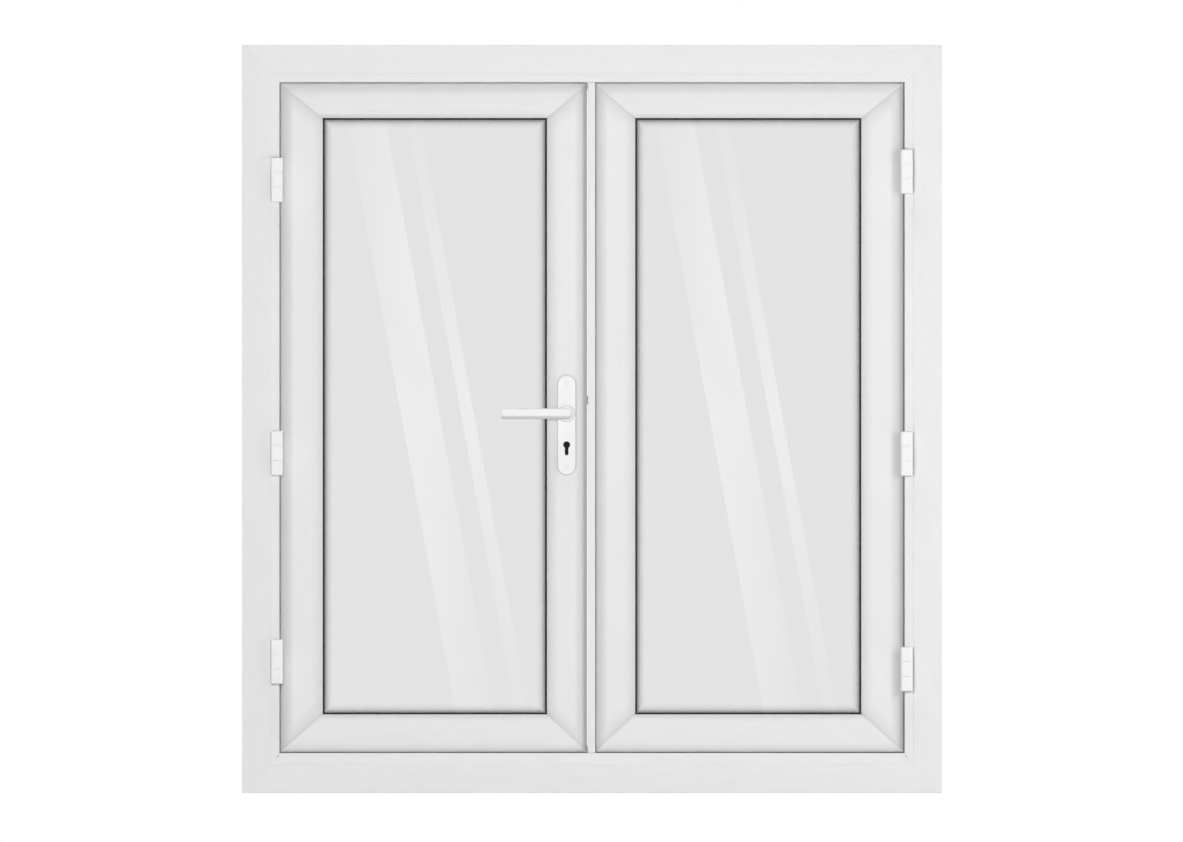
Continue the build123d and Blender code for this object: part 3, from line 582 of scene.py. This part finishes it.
def carved(mesh, cutters):
    """The mesh with each cutter's mesh cut away from it."""
    piece = bpy.data.objects.new("carving", mesh)
    bpy.context.scene.collection.objects.link(piece)
    for cutter_mesh in cutters:
        cutter = bpy.data.objects.new("cutter", cutter_mesh)
        bpy.context.scene.collection.objects.link(cutter)
        cut = piece.modifiers.new("cut", "BOOLEAN")
        cut.operation = "DIFFERENCE"
        cut.solver = "EXACT"
        cut.object = cutter
        result = piece.evaluated_get(bpy.context.evaluated_depsgraph_get())
        piece.data = bpy.data.meshes.new_from_object(result)
        piece.modifiers.clear()
        bpy.data.objects.remove(cutter)
    mesh = piece.data
    bpy.data.objects.remove(piece)
    return mesh


def set_values(mesh, name, values):
    """Gives each point of a mesh its value of an attribute."""
    mesh.attributes.new(name, "FLOAT", "POINT").data.foreach_set("value", values)


def mark(mesh, name, value_at):
    """Gives each point of a mesh a value that is worked out from its place."""
    set_values(mesh, name, [value_at(vert.co) for vert in mesh.vertices])


def clamped(value):
    """A value kept between 0 and 1."""
    return min(1, max(0, value))


def add_piece(name, mesh, finish, body, replaced=(), smooth_angle=32):
    """Puts a mesh in the scene as a piece that rides on a body, in place of some CAD nodes."""
    mesh.name = name
    mesh.materials.clear()
    mesh.materials.append(finish)
    mesh.shade_smooth()
    mesh.set_sharp_from_angle(angle=radians(smooth_angle))
    piece = bpy.data.objects.new(name, mesh)
    bpy.context.scene.collection.objects.link(piece)
    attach(piece, body)
    if replaced:
        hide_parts(*replaced)
    return piece


def bar_mesh(section, place, start_at, end_at, shade=None):
    """A bar between two mitres, with a fine groove along each weld in the faces that look out.

    A section point is (u, y): u inwards from the outer edge and y the depth. place gives the
    point in space, and start_at and end_at give where the mitres are at u. shade gives the
    painted shade of the outside at u, which also grows towards the mitres."""
    stations = mitre_painted_shade if shade else mitre_painted_shade[:2]
    rings = []
    greys = []
    for near, row in ((True, stations), (False, stations[::-1])):
        for inward, mitre_grey in row:
            sunk = 0 if inward else weld_depth
            ring = []
            for u, y in section:
                start, end = start_at(u), end_at(u)
                step = inward * (1 if end > start else -1)
                along = start + step if near else end - step
                ring.append(place(u, y + sunk * (1 if y < 0 else -1), along))
                # Painted shade on the outside: the greater of the profile's and the mitre's
                if shade:
                    greys.append(max(shade(u), mitre_grey) if y < 0 else 0)
            rings.append(ring)
    mesh = shell("bar", rings)
    if shade:
        set_values(mesh, "painted_profile_shade", greys)
    return mesh


# Outer frame
def frame_section(face):
    """The frame's section: sloped band, shallow step, flat band, reveal and door stop."""
    band_front = frame_front - band_step
    return rounded(
        [
            (0, frame_back, frame_back_round),
            (0, band_front + band_slope_drop, band_round),
            (band_width, band_front, step_foot_round),
            (band_width + band_step, frame_front, step_top_round),
            (face, frame_front, band_round),
            (face, stop_front, 0),
            (face + stop_height, stop_front, stop_round),
            (face + stop_height, frame_back, frame_back_round),
        ],
        steps=4,
    )


def mitre_offset(face, other):
    """How far a member's end is from the frame's outside at u: a mitre, then a square step."""
    return lambda u: min(u, other) if u <= face + rounding_error else u + other - face


def frame_members():
    """The two jambs with their fixing holes, and head and sill with a hole for a bolt's sleeve."""
    bolt = (low("top_slide_bolt") + high("top_slide_bolt")) / 2
    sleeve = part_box("slide_bolt_keeps")
    sleeve_radius = (sleeve[1][0] - sleeve[0][0]) / 2
    fixing_length = 2 * (jamb_face + stop_height + fixing_past)
    for side, k in SIDE.items():
        low_end = mitre_offset(jamb_face, sill_face)
        high_end = mitre_offset(jamb_face, head_face)
        mesh = bar_mesh(
            frame_section(jamb_face),
            lambda u, y, s: (k * (half_width - u), y, s),
            low_end,
            lambda u: frame_height - high_end(u),
        )
        holes = [
            drum((k * half_width, 0, z), "X", fixing_radius, fixing_length)
            for z in (fixing_from_corner, frame_height - fixing_from_corner)
        ]
        add_piece(
            f"jamb_{side}", carved(mesh, holes), upright_pvc, "frame",
            [f"frame_jamb_{side}"],
        )
    for side, base, up, face in (("head", frame_height, -1, head_face), ("sill", 0, 1, sill_face)):
        offset = mitre_offset(face, jamb_face)
        mesh = bar_mesh(
            frame_section(face),
            lambda u, y, s: (s, y, base + up * u),
            lambda u: -half_width + offset(u),
            lambda u: half_width - offset(u),
        )
        hole = drum((bolt.x, bolt_y, base + up * face), "Z", sleeve_radius + fit, 2 * keep_length)
        add_piece(
            f"{side}_bar", carved(mesh, [hole]), level_pvc, "frame", [f"frame_{side}"]
        )


# Doors
def door_section(face):
    """The door's outline across the bar: rounded outer edge, flat face, slope down to the glass."""
    k = face / nominal_face
    nose = nose_width * k
    shoulder = face - slope_width * k
    front = tangent_arc((nose, door_front), (0, edge_front), count=14)[::-1]
    slope = tangent_arc((shoulder, door_front), (face, lip_front), count=12)
    lip = [(face, lip_back), (pocket_floor * k, lip_back)]
    back = rounded(
        [
            (pocket_floor * k, door_back, pocket_round),
            (rebate * k, door_back, door_back_round),
            (rebate * k, door_step, door_step_round),
            (0, door_step, door_back_round),
            (0, edge_front, 0),
        ],
        steps=3,
    )
    return front + slope + lip + back[:-1]


def stile_painted_shade(face):
    """Painted shade on a stile: darker along its rolled edge and its slope; the rails have none."""
    k = face / nominal_face

    def shade(u):
        outer = edge_painted_shade * (1 - clamped(u / (nose_width * k)) ** 3)
        glass_side = slope_painted_shade * (1 - min(1, (face - u) / (slope_width * k)))
        return max(outer, glass_side)

    return shade


def keyhole(x, z, grow=0.0):
    """The euro cylinder's outline: a circle with a narrower rounded slot below it."""
    radius = key_circle + grow
    half = key_slot / 2 + grow
    join = -sqrt(radius**2 - half**2)
    bottom = key_circle - key_height + key_slot / 2
    start = atan2(join, half)
    stop = 2 * pi + atan2(join, -half)
    round_steps = 36
    slot_steps = 12
    outline = []
    for i in range(round_steps + 1):
        angle = start + (stop - start) * i / round_steps
        outline.append((x + radius * cos(angle), z + radius * sin(angle)))
    for i in range(slot_steps + 1):
        angle = pi + pi * i / slot_steps
        outline.append((x + half * cos(angle), z + bottom + half * sin(angle)))
    return outline


def lock_holes():
    """What the lock and the handles need cut from the lock stile."""
    cuts = []
    for node in ("lock_case", "lock_faceplate"):
        near, far = low(node), high(node)
        outline = rectangle(near.x - fit, meeting["left"] + drill_past, near.z - fit, far.z + fit)
        cuts.append(prism(outline, (near.y - fit, far.y + fit)))
    cuts.append(drum((handle_x, 0, handle_z), "Y", spindle_hole, drill_length))
    for z in screw_heights:
        cuts.append(drum((handle_x, 0, z), "Y", screw_radius + fit, drill_length, count=20))
    cuts.append(prism(keyhole(handle_x, cylinder_z, fit), (-drill_length / 2, drill_length / 2)))
    return cuts


def door_members(door):
    """A door's two stiles and two rails, with the lock stile of the left door cut for the lock."""
    k = -SIDE[door]
    outer = {"hinge_stile": -k * door_edge, "lock_stile": meeting[door]}
    inward = {"hinge_stile": k, "lock_stile": -k}
    face = {"hinge_stile": hinge_stile_face, "lock_stile": lock_stile_face}
    for side in outer:
        x, turn, width = outer[side], inward[side], face[side]
        mesh = bar_mesh(
            door_section(width),
            lambda u, y, s: (x + turn * u, y, s),
            lambda u: door_bottom + bottom_rail_face * u / width,
            lambda u: door_top - top_rail_face * u / width,
            stile_painted_shade(width),
        )
        if door == "left" and side == "lock_stile":
            mesh = carved(mesh, lock_holes())
        add_piece(
            f"{door}_{side}_bar", mesh, upright_pvc, f"{door}_door", [f"{door}_{side}"]
        )
    rails = (
        ("top_rail", door_top, -1, top_rail_face),
        ("bottom_rail", door_bottom, 1, bottom_rail_face),
    )
    for side, base, up, width in rails:
        mesh = bar_mesh(
            door_section(width),
            lambda u, y, s: (s, y, base + up * u),
            lambda u: outer["hinge_stile"] + k * hinge_stile_face * u / width,
            lambda u: outer["lock_stile"] - k * lock_stile_face * u / width,
        )
        add_piece(
            f"{door}_{side}_bar", mesh, level_pvc, f"{door}_door", [f"{door}_{side}"]
        )


# Double glazing
def opening_of(door):
    """Left, right, bottom and top of the glass that shows in a door."""
    k = SIDE[door]
    sides = sorted((k * (door_edge - hinge_stile_face), meeting[door] + k * lock_stile_face))
    return (*sides, door_bottom + bottom_rail_face, door_top - top_rail_face)


def frame_ring(work, opening, section):
    """A mitred ring round an opening. A section point is (inwards, depth)."""
    left, right, bottom, top = opening
    corners = ((left, bottom), (right, bottom), (right, top), (left, top))
    rings = []
    for x, z in corners:
        across = 1 if x == left else -1
        up = 1 if z == bottom else -1
        rings.append([(x + across * u, y, z + up * u) for u, y in section])
    skin(work, rings, looped=True)


def glazing_seals(door):
    """The bulb seal that shows round the glass, and the wedge seal behind the beads."""
    work = bmesh.new()
    opening = opening_of(door)
    bulb = rounded(
        [
            (-edge_cover, glass_front - seal_gap, 0),
            (-edge_cover, lip_back + seal_gap, 0),
            (seal_show, lip_back + seal_gap, bulb_round),
            (seal_show, glass_front - seal_gap, bulb_foot_round),
        ],
        steps=5,
    )
    frame_ring(work, opening, bulb)
    wedge = rounded(
        [
            (-edge_cover / 2, glass_back + seal_gap, 0),
            (-wedge_back, glass_back + seal_gap, wedge_foot_round),
            (-wedge_back, glass_back + wedge_depth - seal_gap, wedge_round),
            (-edge_cover / 2, glass_back + wedge_depth - seal_gap, 0),
        ],
        steps=4,
    )
    frame_ring(work, opening, wedge)
    add_piece(
        f"{door}_glass_seals", finished("seals", work), epdm, f"{door}_door",
        [f"{door}_glazing_seals"],
    )


def pane_grid(work, opening, y, shade):
    """The points of a pane's face: nested rectangles, each with its value of the painted shade."""
    left, right, bottom, top = opening
    rows = []
    for inward, value in shade:
        corners = [(left + inward, bottom + inward), (right - inward, bottom + inward)]
        corners += [(right - inward, top - inward), (left + inward, top - inward)]
        rows.append([(work.verts.new((x, y, z)), value) for x, z in corners])
    return rows


def panes(door):
    """Two sheets of float glass. The outer one has rings of points that carry its painted shade."""
    work = bmesh.new()
    layer = work.verts.layers.float.new("pane_painted_shade")
    opening = opening_of(door)
    plain = [(-edge_cover, 0.0)]
    sheets = ((glass_front, pane_painted_shade), (glass_back - pane_thickness, plain))
    for front, shade in sheets:
        faces = [pane_grid(work, opening, y, shade) for y in (front, front + pane_thickness)]
        for rows in faces:
            for row in rows:
                for vert, value in row:
                    vert[layer] = value
            for near, far in zip(rows, rows[1:]):
                for i in range(4):
                    j = (i + 1) % 4
                    work.faces.new((near[i][0], near[j][0], far[j][0], far[i][0]))
            work.faces.new([vert for vert, value in rows[-1]])
        for i in range(4):
            j = (i + 1) % 4
            first, second = faces[0][0], faces[1][0]
            work.faces.new((first[i][0], first[j][0], second[j][0], second[i][0]))
    add_piece(
        f"{door}_glass", finished("glass", work), glass, f"{door}_door", [f"{door}_panes"]
    )


# Hinges
def knuckle(work, axis_x, z, round_at):
    """A length of hinge barrel, rounded over at the ends that round_at gives as -1 and 1."""
    rounding = quarter(hinge_end_round, hinge_end_steps)
    stations = []
    for end, up in zip(z, (-1, 1)):
        if up in round_at:
            row = [(end - up * along, inset) for along, inset in rounding]
        else:
            row = [(end, knuckle_bevel), (end - up * knuckle_bevel, 0)]
        stations += row if up < 0 else row[::-1]
    rings = []
    for height, inset in stations:
        half_x = hinge_width / 2 - inset
        half_y = hinge_depth / 2 - inset
        outline = rectangle(
            axis_x - half_x, axis_x + half_x, hinge_axis_y - half_y, hinge_axis_y + half_y,
            hinge_corner - inset, steps=7,
        )
        rings.append([(x, y, height) for x, y in outline])
    skin(work, rings)


def hinge_rim(axis_x, k, centre):
    """Painted shade on a barrel: a soft grey line on the side of the jamb and over both ends."""

    def shade(point):
        if point.y > hinge_axis_y + hinge_depth / 2:
            return 0
        side = hinge_width / 2 - k * (point.x - axis_x)
        end = hinge_height / 2 - abs(point.z - centre)
        return hinge_painted_shade * clamped(1 - min(side, end) / hinge_rim_width)

    return shade


def hinges():
    """Three hinges a door: two outer knuckles and a plate on the frame, and one knuckle between
    them with its leaf on the door."""
    plate_front = frame_front - hinge_plate
    plate_ends = (half_width - jamb_face + plate_lap, half_width - band_width - band_step - fit)
    clear = hinge_axis_y + hinge_width / 2 + hinge_plate
    third = hinge_height / 6 + knuckle_gap / 2
    middle = hinge_height / 6 - knuckle_gap / 2
    straight = hinge_height / 2 - hinge_end_round
    for door, k in SIDE.items():
        axis_x = k * hinge_axis_x
        stem_x = (axis_x + k * stem_start, axis_x + k * stem_end)
        plate_x = [k * end for end in plate_ends]
        leaf_x = (k * door_edge, k * (door_edge + leaf_thickness))
        for level in ("bottom", "middle", "top"):
            frame_leaf = f"{door}_{level}_hinge_frame_leaf"
            door_leaf = f"{door}_{level}_hinge_door_leaf"
            centre = (low(frame_leaf).z + high(frame_leaf).z) / 2
            tall = (centre - straight, centre + straight)
            work = bmesh.new()
            for up in (-1, 1):
                z = sorted((centre + up * third, centre + up * hinge_height / 2))
                knuckle(work, axis_x, z, (up,))
                stem_z = sorted((centre + up * third, centre + up * straight))
                slab(work, stem_x, (hinge_axis_y, plate_front), stem_z, stem_bevel)
            slab(work, plate_x, (plate_front, frame_front), tall, plate_bevel)
            mesh = finished("barrel", work)
            # Painted shade along the jamb side and over the ends
            mark(mesh, "painted_rim_shade", hinge_rim(axis_x, k, centre))
            add_piece(
                f"{door}_{level}_barrel", mesh, coated_zinc, "frame", [frame_leaf]
            )

            work = bmesh.new()
            short = (centre - middle, centre + middle)
            knuckle(work, axis_x, short, ())
            slab(work, leaf_x, (hinge_axis_y, clear + leaf_overlap), short, leaf_bevel)
            slab(work, leaf_x, (clear, high(door_leaf).y), tall, leaf_bevel)
            mesh = finished("knuckle", work)
            mark(mesh, "painted_rim_shade", hinge_rim(axis_x, k, centre))
            add_piece(
                f"{door}_{level}_knuckle", mesh, coated_zinc, f"{door}_door",
                [door_leaf],
            )


# Handles
def handle_plate(name, side):
    """A long plate with a rolled edge, a keyhole and, outside, seats for the screw heads."""
    face = door_front if side < 0 else door_back
    edge = quarter(plate_round, plate_round_steps)
    stations = [(0, 0)] + [(plate_thickness - drop, inset) for inset, drop in edge]
    half = plate_width / 2
    tall = plate_height / 2
    rings = []
    for out, inset in stations:
        outline = rectangle(
            handle_x - half + inset, handle_x + half - inset,
            plate_middle - tall + inset, plate_middle + tall - inset,
            half - inset - hair, steps=16,
        )
        rings.append([(x, face + side * out, z) for x, z in outline])
    mesh = shell("plate", rings)
    # Painted shade: the rolled edge and the side go grey towards the door
    mark(
        mesh, "painted_rim_shade",
        lambda p: sqrt(clamped((plate_thickness - abs(p.y - face)) / plate_round)),
    )
    front = face + side * plate_thickness
    through = 3 * plate_thickness
    key_y = sorted((face - side * drill_past, front + side * drill_past))
    cuts = [prism(keyhole(handle_x, cylinder_z), key_y)]
    cuts.append(drum((handle_x, front, handle_z), "Y", neck_radius + neck_clearance, through))
    for z in screw_heights:
        cuts.append(drum((handle_x, face, z), "Y", screw_radius + fit, through, count=20))
        if side < 0:
            seat = drum(
                (handle_x, front, z), "Y", screw_head + fit, 2 * screw_head_depth, count=28
            )
            cuts.append(seat)
    add_piece(
        f"{name}_plate", carved(mesh, cuts), coated_zinc, "left_door",
        [f"{name}_handle_plate"],
    )


def turned(work, profile, centre, side, count=48):
    """A shell turned about the Y axis through a point, from (distance out, radius) pairs."""
    x, y, z = centre
    rings = []
    for out, radius in profile:
        rings.append([(x + a, y + side * out, z + b) for a, b in circle(radius, count)])
    skin(work, rings)


def lever_grip(work, side, front):
    """The grip: a bar of soft rectangular section, rounded at the free end and over the neck."""
    middle_y = front - side * grip_depth / 2
    stations = []
    for end, inward, radius in ((grip_left, 1, grip_end_round), (grip_right, -1, grip_neck_round)):
        row = [(end + inward * along, inset) for along, inset in quarter(radius, grip_round_steps)]
        stations += row if inward > 0 else row[::-1]
    count = 36
    rings = []
    for x, inset in stations:
        half_z = grip_height / 2 - inset
        half_y = grip_depth / 2 - inset * grip_depth_share
        ring = []
        for i in range(count):
            angle = 2 * pi * i / count
            a, b = cos(angle), sin(angle)
            y = half_y * abs(a) ** grip_power * (1 if a > 0 else -1)
            z = half_z * abs(b) ** grip_power * (1 if b > 0 else -1)
            ring.append((x, middle_y + y, handle_z + z))
        rings.append(ring)
    skin(work, rings)


def lever(name, side):
    """A handle: a round collar on the plate, a neck with a flared root, and the grip."""
    face = door_front if side < 0 else door_back
    front = face + side * (plate_thickness + grip_reach)
    centre = (handle_x, face + side * plate_thickness, handle_z)
    work = bmesh.new()
    collar = [(hair, neck_radius - collar_overlap), (hair, collar_radius)]
    for inset, drop in quarter(collar_round, turned_steps):
        collar.append((collar_thickness - drop, collar_radius - inset))
    collar.append((collar_thickness, neck_radius + collar_gap))
    turned(work, collar, centre, side)
    neck = [
        (neck_sunk - plate_thickness, neck_radius),
        (collar_thickness - collar_overlap, neck_radius),
    ]
    for rise, flare in quarter(neck_root, turned_steps):
        neck.append((collar_thickness + rise - root_overlap, neck_radius + flare))
    neck.append((grip_reach - grip_depth / 2, neck_radius))
    turned(work, neck, centre, side)
    lever_grip(work, side, front)
    mesh = finished("lever", work)

    def shade(point):
        """Painted shade: the collar's rim and the underside of the grip are the greyer parts."""
        out = abs(point.y - centre[1])
        if out <= collar_thickness + fit:
            away = sqrt((point.x - centre[0]) ** 2 + (point.z - centre[2]) ** 2)
            return 1 if away > collar_radius - collar_rim_width else 0
        down = (handle_z - point.z) / (grip_height / 2)
        return under_grip_painted_shade * clamped((down - under_grip_start) / under_grip_blend)

    mark(mesh, "painted_rim_shade", shade)
    add_piece(
        f"{name}_lever", mesh, coated_zinc, "handle",
        [f"{name}_handle"], smooth_angle=40,
    )


# Slim mullion
def mullion_ends():
    """White end pieces that fill the gaps between the mullion and the frame when it is shut. Each
    has a short tongue beside the mullion, where the stop of the frame would show."""
    left, right = low("mullion").x, high("mullion").x
    front = low("mullion").y
    depth = (front, front + end_piece_depth)
    ends = (
        ("bottom", sill_face, 1, low("mullion").z),
        ("top", frame_height - head_face, -1, high("mullion").z),
    )
    for name, frame_z, up, inner in ends:
        outer = frame_z + up * end_piece_gap
        tip = frame_z + up * (stop_height + tongue_past_stop)
        work = bmesh.new()
        slab(work, (left, right), depth, sorted((outer, inner)), end_piece_bevel)
        slab(work, (left - tongue_width, left), depth, sorted((outer, tip)), end_piece_bevel)
        add_piece(
            f"mullion_{name}_end", finished("end", work), upright_pvc, "right_door", ()
        )


frame_members()
for door_name in ("left", "right"):
    door_members(door_name)
    glazing_seals(door_name)
    panes(door_name)
hinges()
handle_plate("outer", -1)
handle_plate("inner", 1)
lever("outer", -1)
lever("inner", 1)
mullion_ends()


# Floor, light and camera
WHITE = (1, 1, 1, 1)
sky_strength = 1.0
strip_glow = 0.68
fill_strength = 0.05
even_white_share = 0.74
floor_reach = 60


def sky_light():
    """Light that only reflections see: the bright strips of sky that show in the panes. A strip is
    brighter than the white sky by its glow at each point."""
    material = new_material("sky_strip")
    glow = add_node(material, "ShaderNodeAttribute", attribute_name="glow")
    strength = add_node(
        material, "ShaderNodeMath",
        {0: glow.outputs["Fac"], 1: strip_glow, 2: sky_strength},
        operation="MULTIPLY_ADD",
    )
    light = add_node(
        material, "ShaderNodeEmission", {"Strength": strength.outputs["Value"]}, Color=WHITE
    )
    clear = add_node(material, "ShaderNodeBsdfTransparent", Color=WHITE)
    path = add_node(material, "ShaderNodeLightPath")
    mix = add_node(
        material, "ShaderNodeMixShader",
        {0: path.outputs["Is Glossy Ray"], 1: clear.outputs["BSDF"], 2: light.outputs["Emission"]},
    )
    return surface(material, mix.outputs["Shader"])


def flat_sheet(name, points, faces, finish):
    """A sheet that belongs to the studio and not to the part."""
    mesh = bpy.data.meshes.new(name)
    mesh.from_pydata(points, [], faces)
    mesh.materials.append(finish)
    sheet = bpy.data.objects.new(name, mesh)
    bpy.context.scene.collection.objects.link(sheet)
    return sheet


def sight_ray(owner):
    """1 for rays from the camera, from reflections and through glass, and 0 for all others."""
    path = add_node(owner, "ShaderNodeLightPath")
    seen = path.outputs["Is Camera Ray"]
    for ray in ("Is Glossy Ray", "Is Transmission Ray"):
        either = add_node(
            owner, "ShaderNodeMath", {0: seen, 1: path.outputs[ray]}, operation="MAXIMUM"
        )
        seen = either.outputs["Value"]
    return seen


def studio_floor():
    """A plain white floor. The camera sees it as mostly even white, with enough of the light that
    falls on it to keep the object's shadow."""
    material = new_material("painted_floor")
    paint = add_node(
        material, "ShaderNodeBsdfPrincipled", Base_Color=linear("#ececec"), Roughness=0.9
    )
    even = add_node(material, "ShaderNodeEmission", Color=WHITE, Strength=sky_strength)
    share = add_node(
        material, "ShaderNodeMath",
        {0: sight_ray(material), 1: even_white_share}, operation="MULTIPLY",
    )
    floor = add_node(
        material, "ShaderNodeMixShader",
        {0: share.outputs["Value"], 1: paint.outputs["BSDF"], 2: even.outputs["Emission"]},
    )
    surface(material, floor.outputs["Shader"])
    outline = rectangle(-floor_reach, floor_reach, -floor_reach, floor_reach)
    flat_sheet("floor", [(x, y, 0) for x, y in outline], [(0, 1, 2, 3)], material)


# The streaks that a pane shows, in pixels of the photograph: how far a streak leans over for each
# row, the pane's first and last row, and how far the right pane is from the left one
STREAK_LEAN = 0.184
STREAK_ROWS = (110, 722)
PANE_SHIFT_PX = 308
# How far in front of the doors the strips of sky are, in metres
STREAK_DISTANCE = 9.0
# Each streak of the left pane: a point on its left and on its right edge, and how bright the two
# edges are at shares of the pane's height from the top
streaks = {
    "wide": (
        (380, 300),
        (385, 118),
        ((0, 0.1, 0.5), (0.3, 0.5, 1), (0.5, 1, 0.8), (0.7, 0.85, 0.45), (1, 0.45, 0.1)),
    ),
    "narrow": (
        (461, 414),
        (474, 414),
        ((0, 0.1, 0.1), (0.3, 0.6, 0.6), (0.5, 1, 1), (0.7, 0.6, 0.6), (1, 0.1, 0.1)),
    ),
}


def sky_strips():
    """Slanted strips far in front of the doors, which a level view sees reflected as streaks."""
    finish = sky_light()
    top, bottom = STREAK_ROWS
    for shift in (0, PANE_SHIFT_PX):
        for name, (left_at, right_at, rows) in streaks.items():
            points = []
            glow = []
            for share, *edges in rows:
                row = top + (bottom - top) * share
                for (px, py), value in zip((left_at, right_at), edges):
                    x, z = from_photo(px + shift + STREAK_LEAN * (row - py), row)
                    points.append((x, -STREAK_DISTANCE, z))
                    glow.append(value)
            faces = [(i, i + 1, i + 3, i + 2) for i in range(0, len(points) - 2, 2)]
            sheet = flat_sheet(f"sky_strip_{name}_{shift}", points, faces, finish)
            set_values(sheet.data, "glow", glow)


def studio_sky():
    """A white backdrop for the eye, and a weak even fill for the light on the part."""
    world = bpy.data.worlds.new("studio")
    bpy.context.scene.world = world
    world.use_nodes = True
    world.node_tree.nodes.clear()
    fill = add_node(world, "ShaderNodeBackground", Color=WHITE, Strength=fill_strength)
    backdrop = add_node(world, "ShaderNodeBackground", Color=WHITE, Strength=sky_strength)
    sky = add_node(
        world, "ShaderNodeMixShader",
        {0: sight_ray(world), 1: fill.outputs["Background"], 2: backdrop.outputs["Background"]},
    )
    add_node(world, "ShaderNodeOutputWorld", {"Surface": sky.outputs["Shader"]})


def soft_light(name, place, target, size, power):
    """A square lamp that the camera, reflections and glass don't see."""
    data = bpy.data.lights.new(name, "AREA")
    data.shape = "RECTANGLE"
    data.size = size
    data.size_y = size
    data.energy = power
    lamp = bpy.data.objects.new(name, data)
    lamp.location = place
    lamp.rotation_euler = (Vector(target) - Vector(place)).to_track_quat("-Z", "Y").to_euler()
    bpy.context.scene.collection.objects.link(lamp)
    lamp.visible_glossy = False
    lamp.visible_transmission = False
    lamp.visible_camera = False


def flat_camera():
    """A camera without perspective, square to the doors, as in the photograph."""
    data = bpy.data.cameras.new("camera")
    data.type = "ORTHO"
    data.ortho_scale = PHOTO_WIDTH * PIXEL
    data.clip_end = CAMERA_REACH
    camera = bpy.data.objects.new("camera", data)
    x, z = from_photo(PHOTO_WIDTH / 2, PHOTO_HEIGHT / 2)
    camera.location = (x, -CAMERA_DISTANCE, z)
    camera.rotation_euler = (pi / 2, 0, 0)
    bpy.context.scene.collection.objects.link(camera)
    bpy.context.scene.camera = camera


studio_floor()
sky_strips()
studio_sky()
# Each lamp's name, place, aim, side length and power
soft_light("main", (-0.9, -8.0, 1.35), (0, 0, 1.0), 2.0, 332)
soft_light("right_side", (3.4, -3.6, 1.6), (0.4, 0, 1.1), 1.4, 46)
soft_light("back", (1.2, 8.0, 2.2), (0, 0, 1.0), 3.0, 380)
soft_light("overhead", (-0.5, -1.2, 6.5), (0, 0, 1.0), 2.0, 90)
soft_light("left_end", (-6.0, 0.6, 1.6), (0, 0.02, 1.0), 1.5, 110)
soft_light("right_end", (6.0, 0.6, 1.6), (0, 0.02, 1.0), 1.5, 110)
flat_camera()
bpy.context.scene.view_settings.view_transform = "Standard"
